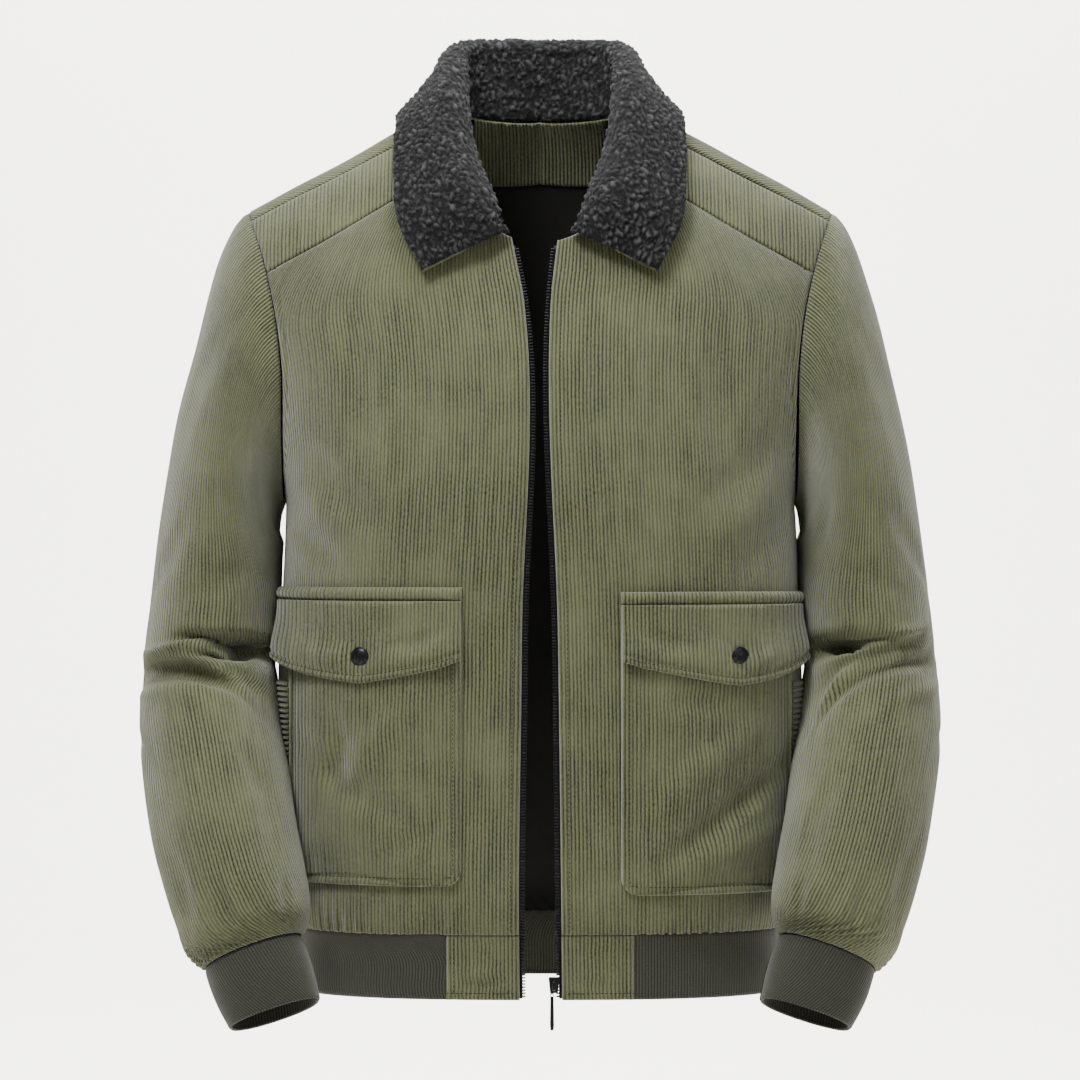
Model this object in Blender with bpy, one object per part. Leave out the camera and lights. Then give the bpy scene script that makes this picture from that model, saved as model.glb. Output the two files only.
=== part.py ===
"""Corduroy zip jacket with a fleece collar, filled out as it is worn, hollow and open.

Sizes are millimetres until a mesh is made. X runs to the wearer's left, Y to the back and Z up.
The origin is the middle of the neck, level with the high points of the shoulders.
"""
import functools
import math

import bmesh
import bpy
import numpy as np
from mathutils import Matrix, Vector, kdtree

MM = 0.001

# Cloth
CORDUROY = 2.0            # wall of one layer of corduroy
RIB_KNIT = 2.4            # wall of the hem band and the cuffs
FLEECE = 7.0              # curly pile and its backing
FACING = 1.2              # under collar and neck facing
SEAM_GAP = 0.3            # space between neighbouring pieces
SAME_PLACE = 0.05         # points nearer than this are one point of a seam

# Body
ARMPIT = -315.0           # height of the underarm point
HEM_SEAM = -651.0         # seam between the panels and the band
HEM_EDGE = -701.0
ROUND = 2.6               # squareness of a level section, 2 is an ellipse
CHEST = {-1: 128.0, 1: 116.0}      # depth of the front and of the back at the armpit
CURL = {-1: 1.8, 1: 2.2}           # how late the front and the back curl over the shoulder
SLEEVE_HOLE = 62.0        # half the armhole's depth, front to back
ARM_EDGE = (203.0, 31.0, 0.35, 1.8)   # armhole x: at the armpit, added at the top, start, power

# height, half width, front depth, back depth
TORSO = (
    (-701, 190, 108, 100),
    (-651, 194, 111, 104),
    (-636, 200, 118, 111),
    (-610, 202, 121, 113),
    (-560, 203, 122, 112),
    (-505, 206, 123, 110),
    (-460, 209, 124, 110),
    (-400, 206, 125, 113),
    (-315, 203, 128, 116),
)
# x, height of the shoulder ridge
RIDGE = ((0, 24), (40, 12), (80, 0), (108, -14), (165, -45), (200, -63), (234, -82))
# height, x of the column of points that meets the tab's seam and the neck corner
PRINCESS = ((-701, 73), (-651, 73), (-400, 78), (-160, 84))
# height, x of the zip's free edge on the wearer's right and on the wearer's left
ZIP_LINE = (
    (-701, 11.0, 12.5),
    (-646, 11.6, 12.0),
    (-424, 9.3, 9.3),
    (-152, 10.0, 5.0),
    (-112, 17.5, 9.0),
)
ZIP_DEPTH = 2.7           # how far the tape lies behind the cloth's outer face
CHAIN_WIDTH = 3.5
TAPE_SHOWN = 3.2
NECK_HALF = 80.0
NECK_DROP = 112.0
BACK_NECK_RISE = 0.917    # how far up the back its neck edge is at the middle
NECK_CORNER = 70.0        # x where the yoke seam meets the neck
YOKE_RISE = (0.826, 0.745)   # how far up the front the yoke seam is at the neck and at the armhole

# How far up an armhole each row of points meets it: 0 at the armpit, 1 on the ridge
LOWER_RISES = (0.0, 0.0245, 0.0955, 0.206, 0.345, 0.5)
UPPER_RISES = (0.5, 0.58, 0.66, 0.745)
YOKE_RISES = (0.745, 0.83, 0.90, 0.955)
OVER_RISES = (0.955, 0.985, 1.0)
HEIGHTS = (-651, -637, -622, -565, -505, -445, -390, -345)
NECK_COLUMNS = 3
COLUMNS = 11
GATHERS_PER_COLUMN = 3    # points along the hem seam for each column of a panel
GATHER_DEPTH = 1.6
HEM_SEAM_SHARE = 0.55     # how much of a gather's depth is left at the seam itself

# down, outer x, outer z, inner x, inner z, middle y, half depth, pitch in degrees
SLEEVE = (
    (0, 234, -82, 203, -315, 0, 62, 0),
    (12, 242, -91, 205.2, -320, -1, 64, 0),
    (30, 251, -108, 206.8, -326, -1, 67, 0),
    (65, 264, -148, 208.2, -336, -2, 70, 0),
    (115, 277, -198, 209.2, -348, -3, 73, 0),
    (180, 291, -258, 209.8, -362, -4, 74, 0),
    (250, 302.5, -328, 210, -380, -5, 73, 0),
    (310, 309.5, -384, 210.5, -402, -7, 71, 2),
    (350, 313.5, -424, 212.5, -424, -11, 69, 6),
    (385, 315.5, -456, 214, -450, -18, 66, 14),
    (420, 316, -488, 210, -488, -36, 62, 24),
    (460, 313, -524, 199, -526, -59, 58, 28),
    (500, 306, -563, 190.5, -564, -80, 56, 28),
    (540, 296.5, -601, 183, -598, -98, 54, 25),
    (575, 283, -642, 179, -622, -112, 50, 21),
    (597, 271, -667, 180, -638, -118, 42, 18),
    (606, 259, -677, 184, -650, -120, 34, 17),
)
SLEEVE_RINGS = (0, 8, 20, 38, 65, 100, 145, 195, 245, 290, 320, 335, 345, 354, 363, 372, 382, 393,
                406, 422, 448, 486, 530, 566, 592, 606)
SLEEVE_ROUND = 2.2
SETTING = 95.0            # length over which a sleeve's rings leave the armhole's own shape
# down, outer x, outer z, inner x, inner z, middle y, half depth, pitch in degrees
CUFF = (
    (0, 259, -677, 184, -650, -120, 34, 17),
    (8, 256, -685, 180, -661, -123, 33, 17),
    (28, 249, -702, 174, -680, -128, 31, 17),
    (48, 239, -721, 169, -698, -134, 28, 17),
)
CUFF_RINGS = (0, 8, 28, 48)
# side, first angle, first down, last angle, last down, depth, half width at the first and last end
SLEEVE_FOLDS = (
    (-1, 72, 355, 182, 370, 30, 12, 26),
    (-1, 8, 388, 135, 406, 8, 16, 15),
    (-1, 200, 378, 330, 370, 6, 16, 18),
    (1, 76, 352, 182, 370, 26, 13, 27),
    (1, 38, 350, 140, 404, 7, 16, 17),
    (1, 205, 372, 335, 382, 6, 16, 18),
)

# One side from the middle of the back: name, then x y z of the foot, of the roll's inner side,
# of its top, of its outer side and of the edge
COLLAR = (
    ("back", 0, 49.8, -3.2, 0, 53.5, 48, 0, 66, 63, 0, 79, 48, 0, 77, -14),
    ("back side", 37, 40.3, -3.2, 38, 49.5, 48, 41, 62, 63, 45, 75, 48, 49, 72, -13),
    ("corner", 64.2, 25.2, -1, 57, 32, 44, 64, 42, 58.5, 77, 51, 43, 90, 43, -8),
    ("side", 77.4, -4, 0.9, 58, 8, 28, 66, 9, 42, 83, 10, 34, 113, 3, -4),
    ("forward", 76.6, -32, -14, 57, -22, -2, 64, -27, 13, 84, -33, 7, 116, -33, -17),
    ("front", 66.8, -65, -54, 49, -53, -43, 58, -66, -33, 80, -71, -36, 116, -64, -51),
    ("low front", 48, -80, -84.5, 34, -84, -80, 42, -96, -75, 70, -101, -79, 112, -92, -94),
    ("end", 22, -98, -103, 27, -105, -103, 36, -108, -108, 58, -108, -118, 92, -108, -134),
)
COLLAR_STEPS = 3          # grid steps between two collar stations
COLLAR_ROWS = (0.0, 0.5, 1.0, 1.4, 1.7, 2.0, 2.3, 2.65, 3.0, 3.35, 3.7, 4.0)
COLLAR_WALLS = (3.0, 3.0, 3.0, 3.8, 4.8, 5.8, 6.6, 7.0, 7.0, 7.0, 7.0, 7.0)
UNDER_FROM = 3.0          # row of the collar where the under collar starts

# side, welt top, flap top, flap corners, flap point z, flap point x, inner edge x, patch bottom
POCKETS = (
    (-1, -380.5, -391, -437, -455, 138, 60.5, -612),
    (1, -384, -394, -438, -457, 153, 62.5, -619),
)
PATCH_OUTER = 195.0
FLAP_OUTER = 204.0
PATCH_CORNER = 14.0
PATCH_WALL = 2.0
FLAP_WALL = 2.4
WELT_WALL = 4.4
SNAP_HEIGHT = -434.5
SNAP_RADIUS = 7.6
SNAP_DOME = 2.4
TRIM_X = (196.5, 206.5)
TRIM_TOP = -455.0
TRIM_RIBS = 15
TRIM_PITCH = 4.3
TRIM_WALL = (1.6, 3.0)    # between the ribs and on them

SLIDER_AT = (10.8, -689.0)
SLIDER = (8.6, 5.4, 12.5)           # width, thickness, height
SLIDER_GAP = 0.4          # between the slider and the strip of teeth
TAB = (3.0, 1.8, 30.0)              # width, thickness, length of the pull
TAB_PIN = -694.5

OLIVE = (0.130, 0.140, 0.080)
DARK_OLIVE = (0.050, 0.052, 0.035)
CHARCOAL = (0.045, 0.045, 0.047)
BLACK = (0.008, 0.008, 0.009)
GUNMETAL = (0.02, 0.02, 0.022)


# ---------------------------------------------------------------- numbers

def mix(first, last, share):
    """Value between two others."""
    return first + (last - first) * share


@functools.lru_cache(maxsize=None)
def curve_of(table, column):
    """Places, values and slopes of one column of a table."""
    places = np.array([row[0] for row in table], float)
    values = np.array([row[column] for row in table], float)
    return places, values, np.gradient(values, places)


def smooth(table, place, column):
    """Value of a table's column at a place, on a cubic curve through the table's rows."""
    places, values, slopes = curve_of(table, column)
    first = int(np.clip(np.searchsorted(places, place) - 1, 0, len(places) - 2))
    step = places[first + 1] - places[first]
    share = min(1.0, max(0.0, (place - places[first]) / step))
    square, cube = share ** 2, share ** 3
    return float((2 * cube - 3 * square + 1) * values[first]
                 + (cube - 2 * square + share) * step * slopes[first]
                 + (3 * square - 2 * cube) * values[first + 1]
                 + (cube - square) * step * slopes[first + 1])


def power(value, exponent):
    """Power that keeps the sign of its base."""
    return math.copysign(abs(value) ** exponent, value)


# ---------------------------------------------------------------- torso form

def rise_of(height):
    """How far a nominal height is up from the armpit to the ridge, 0 to 1."""
    return (height - ARMPIT) / -ARMPIT


def height_of(rise):
    """Nominal height of a rise."""
    return ARMPIT * (1 - rise)


def arm_edge(rise):
    """X of the armhole at a rise."""
    start, added, begin, bend = ARM_EDGE
    return start + added * max(0.0, (rise - begin) / (1 - begin)) ** bend


def arm_depth(rise):
    """Distance of the armhole from the ridge's plane at a rise."""
    return SLEEVE_HOLE * math.sqrt(max(0.0, 1 - (2 * rise - 1) ** 2))


def section_of(height, face):
    """Half width, depth and last angle of the level section at a nominal height."""
    if height <= ARMPIT:
        return smooth(TORSO, height, 1), smooth(TORSO, height, 2 if face < 0 else 3), math.pi / 2
    rise = rise_of(height)
    depth = CHEST[face] * max(0.0, 1 - rise ** CURL[face]) ** (1 / CURL[face])
    share = min(0.985, arm_depth(rise) / depth) if depth > 0 else 0.985
    last = math.acos(share ** (ROUND / 2))
    return arm_edge(rise) / math.sin(last) ** (2 / ROUND), depth, last


def torso_point(x, height, face):
    """Point of the cloth at an x and a nominal height, on the front (-1) or on the back (1)."""
    half_width, depth, _ = section_of(height, face)
    share = min(1.0, abs(x) / half_width)
    y = face * depth * (1 - share ** ROUND) ** (1 / ROUND)
    if height <= ARMPIT:
        return np.array((x, y, height))
    return np.array((x, y, ARMPIT + (smooth(RIDGE, abs(x), 1) - ARMPIT) * rise_of(height)))


def zip_edge(height, side):
    """X of the zip's free edge, without its sign."""
    return smooth(ZIP_LINE, height, 1 if side < 0 else 2)


def front_edge(height, side):
    """X of the corduroy's edge beside the zip, without its sign."""
    return zip_edge(height, side) + CHAIN_WIDTH + TAPE_SHOWN


def column_x(column, height, face, inner):
    """X of a column of points at a nominal height, from the inner edge to the side."""
    third = smooth(PRINCESS, height, 1)
    if column <= NECK_COLUMNS:
        return mix(inner, third, column / NECK_COLUMNS)
    half_width, _, last = section_of(height, face)
    first = math.asin((third / half_width) ** (ROUND / 2))
    share = (column - NECK_COLUMNS) / (COLUMNS - NECK_COLUMNS)
    return half_width * math.sin(mix(first, last, share)) ** (2 / ROUND)


def column_at(x, height, side):
    """Column of the front, a whole number or between two, that passes an x."""
    low, high = 0.0, float(COLUMNS)
    for _ in range(40):
        middle = (low + high) / 2
        if column_x(middle, height, -1, front_edge(height, side)) < x:
            low = middle
        else:
            high = middle
    return (low + high) / 2


def upper_point(bottom, top, share, face):
    """Point between two places given as share of the armhole's x and rise."""
    rise = mix(bottom[1], top[1], share)
    x = mix(bottom[0], top[0], share) * arm_edge(rise)
    return torso_point(x, height_of(rise), face)


def middle_place(column, face, inner):
    """Share of the armhole's x, and rise, where a column passes the armhole's middle."""
    rise = LOWER_RISES[-1]
    return column_x(column, height_of(rise), face, inner) / arm_edge(rise), rise


def neck_place(angle):
    """Share and rise on the front neck edge, from the middle (0) to the shoulder's high point."""
    x = NECK_HALF * math.sin(angle)
    z = -NECK_DROP * math.cos(angle)
    rise = (z - ARMPIT) / (smooth(RIDGE, x, 1) - ARMPIT)
    return x / arm_edge(rise), rise


def yoke_place(column):
    """Share and rise on the yoke seam."""
    share = (column - NECK_COLUMNS) / (COLUMNS - NECK_COLUMNS)
    x = mix(NECK_CORNER, arm_edge(YOKE_RISE[1]), share)
    rise = mix(YOKE_RISE[0], YOKE_RISE[1], share)
    return x / arm_edge(rise), rise


def front_top_place(column, side):
    """Share and rise of the front panel's upper edge."""
    if column >= NECK_COLUMNS:
        return yoke_place(column)
    first = math.asin(front_edge(-112, side) / NECK_HALF)
    last = math.asin(NECK_CORNER / NECK_HALF)
    return neck_place(mix(first, last, column / NECK_COLUMNS))


def ridge_place(column):
    """Share and rise of the back's upper edge: its neck, then the shoulder ridge."""
    if column <= NECK_COLUMNS:
        share = column / NECK_COLUMNS
        rise = mix(BACK_NECK_RISE, 1.0, share ** 1.3)
        return NECK_HALF * share / arm_edge(rise), rise
    share = (column - NECK_COLUMNS) / (COLUMNS - NECK_COLUMNS)
    return mix(NECK_HALF, arm_edge(1.0), share) / arm_edge(1.0), 1.0


def forward_place(column):
    """Share and rise of the shoulder seam, which lies in front of the ridge."""
    share = (column - NECK_COLUMNS) / (COLUMNS - NECK_COLUMNS)
    rise = OVER_RISES[0]
    return mix(NECK_HALF - 0.7, arm_edge(rise), share) / arm_edge(rise), rise


def levels(rises):
    """Each row's share of the way from the first rise to the last."""
    return [(rise - rises[0]) / (rises[-1] - rises[0]) for rise in rises]


# ---------------------------------------------------------------- cloth pieces

class Cloth:
    """Outer points of one piece, and the faces between them, before it gets its wall."""

    def __init__(self, name, thickness, colour, roughness=0.95):
        self.name = name
        self.thickness = thickness
        self.colour = colour
        self.roughness = roughness
        self.points = []
        self.faces = []
        self.places = {}

    def add(self, key, point):
        """Keep a point under its key in the piece's grid."""
        self.places[key] = len(self.points)
        self.points.append(np.array(point, float))

    def quad(self, keys, turned):
        """Add the triangles through three or four of the grid's keys, if all of them exist."""
        if not all(key in self.places for key in keys):
            return
        face = [self.places[key] for key in keys]
        for last in range(2, len(face)):
            triangle = [face[0], face[last - 1], face[last]]
            self.faces.append(triangle[::-1] if turned else triangle)

    def fan(self, tip_keys, fine_keys, turned):
        """Join two points of a coarse row to the finer points between them."""
        left, right = tip_keys
        half = len(fine_keys) // 2
        for index in range(len(fine_keys) - 1):
            tip = left if index < half else right
            self.quad((fine_keys[index], fine_keys[index + 1], tip), turned)
        self.quad((fine_keys[half], right, left), turned)


def grid_piece(name, rows, thickness, colour, turned, closed=False, mirrored_to=0):
    """Piece whose points are rows of equal length; its first columns may be split the other way."""
    piece = Cloth(name, thickness, colour)
    for row_index, row in enumerate(rows):
        for index, point in enumerate(row):
            piece.add((row_index, index), point)
    count = len(rows[0])
    for row_index in range(len(rows) - 1):
        for index in range(count if closed else count - 1):
            after = (index + 1) % count
            keys = ((row_index, index), (row_index, after),
                    (row_index + 1, after), (row_index + 1, index))
            piece.quad(keys[1:] + keys[:1] if index < mirrored_to else keys, turned)
    return piece


def hem_columns(first, last):
    """Columns of the fine points along a hem, from one whole column to another."""
    step = 1 if last > first else -1
    count = abs(last - first) * GATHERS_PER_COLUMN
    return [first + step * index / GATHERS_PER_COLUMN for index in range(count + 1)]


def hem_point(point_at, column, height, amount):
    """Point of a gathered edge: in and out in turn, counted from the side seam."""
    point = point_at(column, height)
    turn = round((COLUMNS - abs(column)) * GATHERS_PER_COLUMN) % 2
    fade = min(1.0, max(0.0, abs(column) - NECK_COLUMNS))
    outward = np.array((point[0] / 2.2, point[1], 0.0))
    push = GATHER_DEPTH * amount * fade * (1 if turn else -1)
    return point + outward / np.linalg.norm(outward) * push


def front_point(column, height, side):
    """Point of a front below the armpit."""
    x = column_x(column, height, -1, front_edge(height, side))
    return torso_point(x, height, -1) * (side, 1, 1)


def back_point(column, height):
    """Point of the back below the armpit; columns left of the middle are negative."""
    side = -1 if column < 0 else 1
    x = column_x(abs(column), height, 1, 0.0)
    return torso_point(x, height, 1) * (side, 1, 1)


def add_hem(piece, point_at, first, last, turned):
    """Add a panel's gathered lower edge and the fans that join it to the panel's grid."""
    columns = hem_columns(first, last)
    for row, amount in enumerate((HEM_SEAM_SHARE, 1.0)):
        for index, column in enumerate(columns):
            piece.add(("hem", row, index), hem_point(point_at, column, HEIGHTS[row], amount))
    for index in range(len(columns) - 1):
        piece.quad((("hem", 0, index), ("hem", 0, index + 1),
                    ("hem", 1, index + 1), ("hem", 1, index)), turned)
    for column in range(first, last):
        start = (column - first) * GATHERS_PER_COLUMN
        keys = [("hem", 1, start + step) for step in range(GATHERS_PER_COLUMN + 1)]
        piece.fan(((0, column), (0, column + 1)), keys, turned)


def front_panel(side):
    """Front of one side, from the hem seam up to the yoke seam and the neck."""
    name = "front_right" if side < 0 else "front_left"
    piece = Cloth(name, CORDUROY, OLIVE)
    turned = side < 0
    heights = list(HEIGHTS[2:]) + [height_of(rise) for rise in LOWER_RISES]
    rows = [[front_point(column, height, side) for column in range(COLUMNS + 1)]
            for height in heights]
    for share in levels(UPPER_RISES)[1:]:
        row = []
        for column in range(COLUMNS + 1):
            start = middle_place(column, -1, front_edge(height_of(0.5), side))
            point = upper_point(start, front_top_place(column, side), share, -1)
            row.append(point * (side, 1, 1))
        rows.append(row)
    for row_index, row in enumerate(rows):
        for column, point in enumerate(row):
            piece.add((row_index, column), point)
    for row_index in range(len(rows) - 1):
        for column in range(COLUMNS):
            piece.quad(((row_index, column), (row_index, column + 1),
                        (row_index + 1, column + 1), (row_index + 1, column)), turned)
    add_hem(piece, lambda column, height: front_point(column, height, side), 0, COLUMNS, turned)
    return piece


def yoke_panel(side):
    """Front yoke, between the yoke seam and the shoulder seam."""
    name = "yoke_right" if side < 0 else "yoke_left"
    rows = []
    for share in levels(YOKE_RISES):
        row = [upper_point(yoke_place(column), forward_place(column), share, -1) * (side, 1, 1)
               for column in range(NECK_COLUMNS, COLUMNS + 1)]
        rows.append(row)
    return grid_piece(name, rows, CORDUROY, OLIVE, side < 0)


def back_upper_point(column, share):
    """Point of the back between the armholes."""
    side = -1 if column < 0 else 1
    start = middle_place(abs(column), 1, 0.0)
    return upper_point(start, ridge_place(abs(column)), share, 1) * (side, 1, 1)


def back_panel():
    """Back in one piece, over the shoulders to the seam in front of the ridge."""
    piece = Cloth("back", CORDUROY, OLIVE)
    columns = range(-COLUMNS, COLUMNS + 1)
    heights = list(HEIGHTS[2:]) + [height_of(rise) for rise in LOWER_RISES]
    rows = [[back_point(column, height) for column in columns] for height in heights]
    rises = UPPER_RISES + YOKE_RISES[1:] + OVER_RISES[1:]
    for share in levels(rises)[1:]:
        rows.append([back_upper_point(column, share) for column in columns])
    for row_index, row in enumerate(rows):
        for column, point in zip(columns, row):
            piece.add((row_index, column), point)
    top = len(rows) - 1
    for step, rise in enumerate(reversed(OVER_RISES[:-1])):
        share = (step + 1) / (len(OVER_RISES) - 1)
        for column in columns:
            if abs(column) >= NECK_COLUMNS:
                side = -1 if column < 0 else 1
                place = (mix(ridge_place(abs(column))[0], forward_place(abs(column))[0], share), rise)
                point = torso_point(place[0] * arm_edge(rise), height_of(rise), -1)
                piece.add((top + step + 1, column), point * (side, 1, 1))
    for row_index in range(top + len(OVER_RISES) - 1):
        for column in range(-COLUMNS, COLUMNS):
            piece.quad(((row_index, column), (row_index, column + 1),
                        (row_index + 1, column + 1), (row_index + 1, column)), True)
    add_hem(piece, back_point, -COLUMNS, COLUMNS, True)
    return piece


# ---------------------------------------------------------------- sleeves and cuffs

def armhole_places():
    """Face and rise of each armhole point: down the front from the ridge, up the back."""
    down = (OVER_RISES[::-1] + YOKE_RISES[::-1][1:] + UPPER_RISES[::-1][1:] + LOWER_RISES[::-1][1:])
    up = down[::-1][1:-1]
    return [(-1, rise) for rise in down] + [(1, rise) for rise in up]


def armhole_point(face, rise):
    """Point of the left armhole."""
    return torso_point(arm_edge(rise), height_of(rise), face)


def arm_angle(face, rise):
    """Angle round a sleeve that a point of the armhole has: 0 outside, 90 in front."""
    angle = math.acos(max(-1.0, min(1.0, 2 * rise - 1)))
    return angle if face < 0 else 2 * math.pi - angle


def ring_point(table, down, angle):
    """Point of a sleeve or a cuff on its plain form."""
    outer_x, outer_z, inner_x, inner_z, middle_y, half_depth, pitch = (
        smooth(table, down, column) for column in range(1, 8))
    lean = math.radians(pitch)
    across = np.array((outer_x - inner_x, 0.0, outer_z - inner_z)) / 2
    centre = np.array(((outer_x + inner_x) / 2, middle_y, (outer_z + inner_z) / 2))
    forward = np.array((0.0, -math.cos(lean), math.sin(lean))) * half_depth
    bend = 2 / SLEEVE_ROUND
    return centre, centre + across * power(math.cos(angle), bend) + forward * power(
        math.sin(angle), bend)


def fold_push(side, down, angle):
    """How deep the sleeve's folds press the cloth in at a place."""
    degrees = math.degrees(angle) % 360
    total = 0.0
    for fold_side, first_angle, first, last_angle, last, depth, first_half, last_half in SLEEVE_FOLDS:
        share = (degrees - first_angle) / (last_angle - first_angle)
        if fold_side != side or share < -0.35 or share > 1.35:
            continue
        inside = min(1.0, max(0.0, share))
        half = mix(first_half, last_half, inside)
        off = abs(down - mix(first, last, share)) / half
        along = max(0.0, 1 - max(0.0, abs(share - 0.5) - 0.2) / 0.5)
        if first_half < 10 and last_half > 20:
            along = (min(1.0, max(0.0, share + 0.1) * 1.5)
                     * max(0.0, 1 - max(0.0, share - 1) * 2.9))
        if off < 1:
            total += depth * along * (1 - off ** 2) ** 2
    return total


def sleeve_point(side, down, face, rise):
    """Point of a sleeve for the armhole point that its line starts from."""
    angle = arm_angle(face, rise)
    centre, point = ring_point(SLEEVE, down, angle)
    _, first = ring_point(SLEEVE, 0, angle)
    fade = max(0.0, 1 - down / SETTING) ** 2
    point = point + (armhole_point(face, rise) - first) * fade
    inward = centre - point
    push = fold_push(side, down, angle)
    point = point + inward / np.linalg.norm(inward) * push
    return point * (side, 1, 1)


def gathered(ring, centre, depth):
    """Ring of points pushed in and out in turn."""
    result = []
    for index, point in enumerate(ring):
        outward = point - centre
        outward = outward / np.linalg.norm(outward)
        result.append(point + outward * depth * (1 if index % 2 else -1))
    return result


def sleeve_panel(side):
    """Sleeve as one tube from the armhole to the cuff."""
    name = "sleeve_right" if side < 0 else "sleeve_left"
    rows = []
    for down in SLEEVE_RINGS:
        ring = [sleeve_point(side, down, face, rise) for face, rise in armhole_places()]
        if down == SLEEVE_RINGS[-2]:
            ring = gathered(ring, sum(ring) / len(ring), GATHER_DEPTH * 1.4)
        if down == SLEEVE_RINGS[-1]:
            ring = gathered(ring, sum(ring) / len(ring), GATHER_DEPTH * 0.5)
        rows.append(ring)
    return grid_piece(name, rows, CORDUROY, OLIVE, side < 0, closed=True)


def cuff_panel(side):
    """Rib knit cuff, joined to the sleeve's gathered end."""
    name = "cuff_right" if side < 0 else "cuff_left"
    rows = []
    for down in CUFF_RINGS:
        ring = []
        for face, rise in armhole_places():
            _, point = ring_point(CUFF, down, arm_angle(face, rise))
            ring.append(point * (side, 1, 1))
        if down == 0:
            ring = gathered(ring, sum(ring) / len(ring), GATHER_DEPTH * 0.5)
        rows.append(ring)
    return grid_piece(name, rows, RIB_KNIT, DARK_OLIVE, side < 0, closed=True)


# ---------------------------------------------------------------- hem band

def band_piece(name, colour, thickness, parts, turned):
    """Band below the hem seam; each part is a point function and its first and last column."""
    piece = Cloth(name, thickness, colour)
    fine = GATHERS_PER_COLUMN
    place = 0
    for point_at, first, last in parts:
        step = 1 if last > first else -1
        for index, column in enumerate(hem_columns(first, last)):
            key = ("top", place * fine + index)
            piece.add(key, hem_point(point_at, column, HEM_SEAM, HEM_SEAM_SHARE))
        for index, column in enumerate(range(first, last + step, step)):
            middle = point_at(column, mix(HEM_SEAM, HEM_EDGE, 0.35))
            piece.add(("middle", place + index), middle)
            piece.add(("bottom", place + index), point_at(column, HEM_EDGE))
        place += abs(last - first)
    for index in range(place):
        piece.quad((("bottom", index), ("bottom", index + 1),
                    ("middle", index + 1), ("middle", index)), turned)
        keys = [("top", index * fine + step) for step in range(fine + 1)]
        piece.fan((("middle", index), ("middle", index + 1)), keys, not turned)
    return piece


def hem_tab(side):
    """Corduroy tab at the front end of the hem band."""
    name = "hem_tab_right" if side < 0 else "hem_tab_left"
    parts = ((lambda column, height: front_point(column, height, side), 0, NECK_COLUMNS),)
    return band_piece(name, OLIVE, CORDUROY, parts, side < 0)


def hem_band():
    """Rib knit band, from one tab round the back to the other."""
    def left_front(column, height):
        return front_point(column, height, 1)

    def right_front(column, height):
        return front_point(column, height, -1)

    def across_back(column, height):
        return back_point(-column, height)

    parts = ((left_front, NECK_COLUMNS, COLUMNS), (across_back, -COLUMNS, COLUMNS),
             (right_front, COLUMNS, NECK_COLUMNS))
    return band_piece("hem_band", DARK_OLIVE, RIB_KNIT, parts, False)


# ---------------------------------------------------------------- walls and meshes

def shared_normals(pieces):
    """Outward direction at every point, averaged over the pieces that meet there."""
    count = sum(len(piece.points) for piece in pieces)
    tree = kdtree.KDTree(count)
    own = []
    for piece in pieces:
        points = np.array(piece.points)
        normals = np.zeros_like(points)
        for face in piece.faces:
            corners = points[face]
            normal = sum(np.cross(corners[i] - corners[0], corners[i + 1] - corners[0])
                         for i in range(1, len(face) - 1))
            for index in face:
                normals[index] += normal
        for point, normal in zip(points, normals):
            tree.insert(Vector(point), len(own))
            length = np.linalg.norm(normal)
            own.append(normal / length if length > 0 else normal)
    tree.balance()
    for piece in pieces:
        result = []
        for point in piece.points:
            near = [own[index] for _, index, _ in tree.find_range(Vector(point), SAME_PLACE)]
            total = sum(near)
            result.append(total / np.linalg.norm(total))
        piece.normals = result


def turn_armpits(pieces):
    """Point the cloth at the underarm seams straight out of the armhole, where sleeve and body fold."""
    for side in (-1, 1):
        for face, rise in armhole_places():
            if rise > LOWER_RISES[1]:
                continue
            place = armhole_point(face, rise) * (side, 1, 1)
            way = np.array((0.35 * side, 0.6 * face * (rise > 0), -0.8))
            way = way / np.linalg.norm(way)
            for piece in pieces:
                for index, point in enumerate(piece.points):
                    if np.abs(point - place).max() < SAME_PLACE:
                        piece.normals[index] = way


def edge_steps(piece):
    """Directed edges that only one face has."""
    seen = {}
    for face in piece.faces:
        for index, first in enumerate(face):
            last = face[(index + 1) % len(face)]
            if (last, first) in seen:
                del seen[(last, first)]
            else:
                seen[(first, last)] = True
    return list(seen)


def draw_in(piece, edges, gap):
    """Move the piece's edge points half a seam's gap away from the seam."""
    ways = {}
    for first, last in edges:
        along = piece.points[last] - piece.points[first]
        for index in (first, last):
            way = np.cross(piece.normals[index], along)
            ways.setdefault(index, []).append(way / np.linalg.norm(way))
    for index, pair in ways.items():
        if len(pair) == 1:
            piece.points[index] = piece.points[index] + pair[0] * gap
            continue
        spread = max(0.35, 1 + float(np.dot(pair[0], pair[1])))
        piece.points[index] = piece.points[index] + (pair[0] + pair[1]) / spread * gap


def material(name, colour, roughness, metallic=0.0):
    """Principled material of one colour."""
    result = bpy.data.materials.new(name)
    result.use_nodes = True
    shader = result.node_tree.nodes["Principled BSDF"]
    shader.inputs["Base Color"].default_value = (*colour, 1.0)
    shader.inputs["Roughness"].default_value = roughness
    shader.inputs["Metallic"].default_value = metallic
    return result


def add_object(name, mesh_data, colour, roughness, metallic=0.0):
    """Put a finished bmesh into the scene under its name."""
    mesh = bpy.data.meshes.new(name)
    mesh_data.to_mesh(mesh)
    mesh_data.free()
    mesh.materials.append(material(name, colour, roughness, metallic))
    mesh.shade_smooth()
    mesh.set_sharp_from_angle(angle=math.radians(50))
    result = bpy.data.objects.new(name, mesh)
    bpy.context.collection.objects.link(result)
    return result


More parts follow.
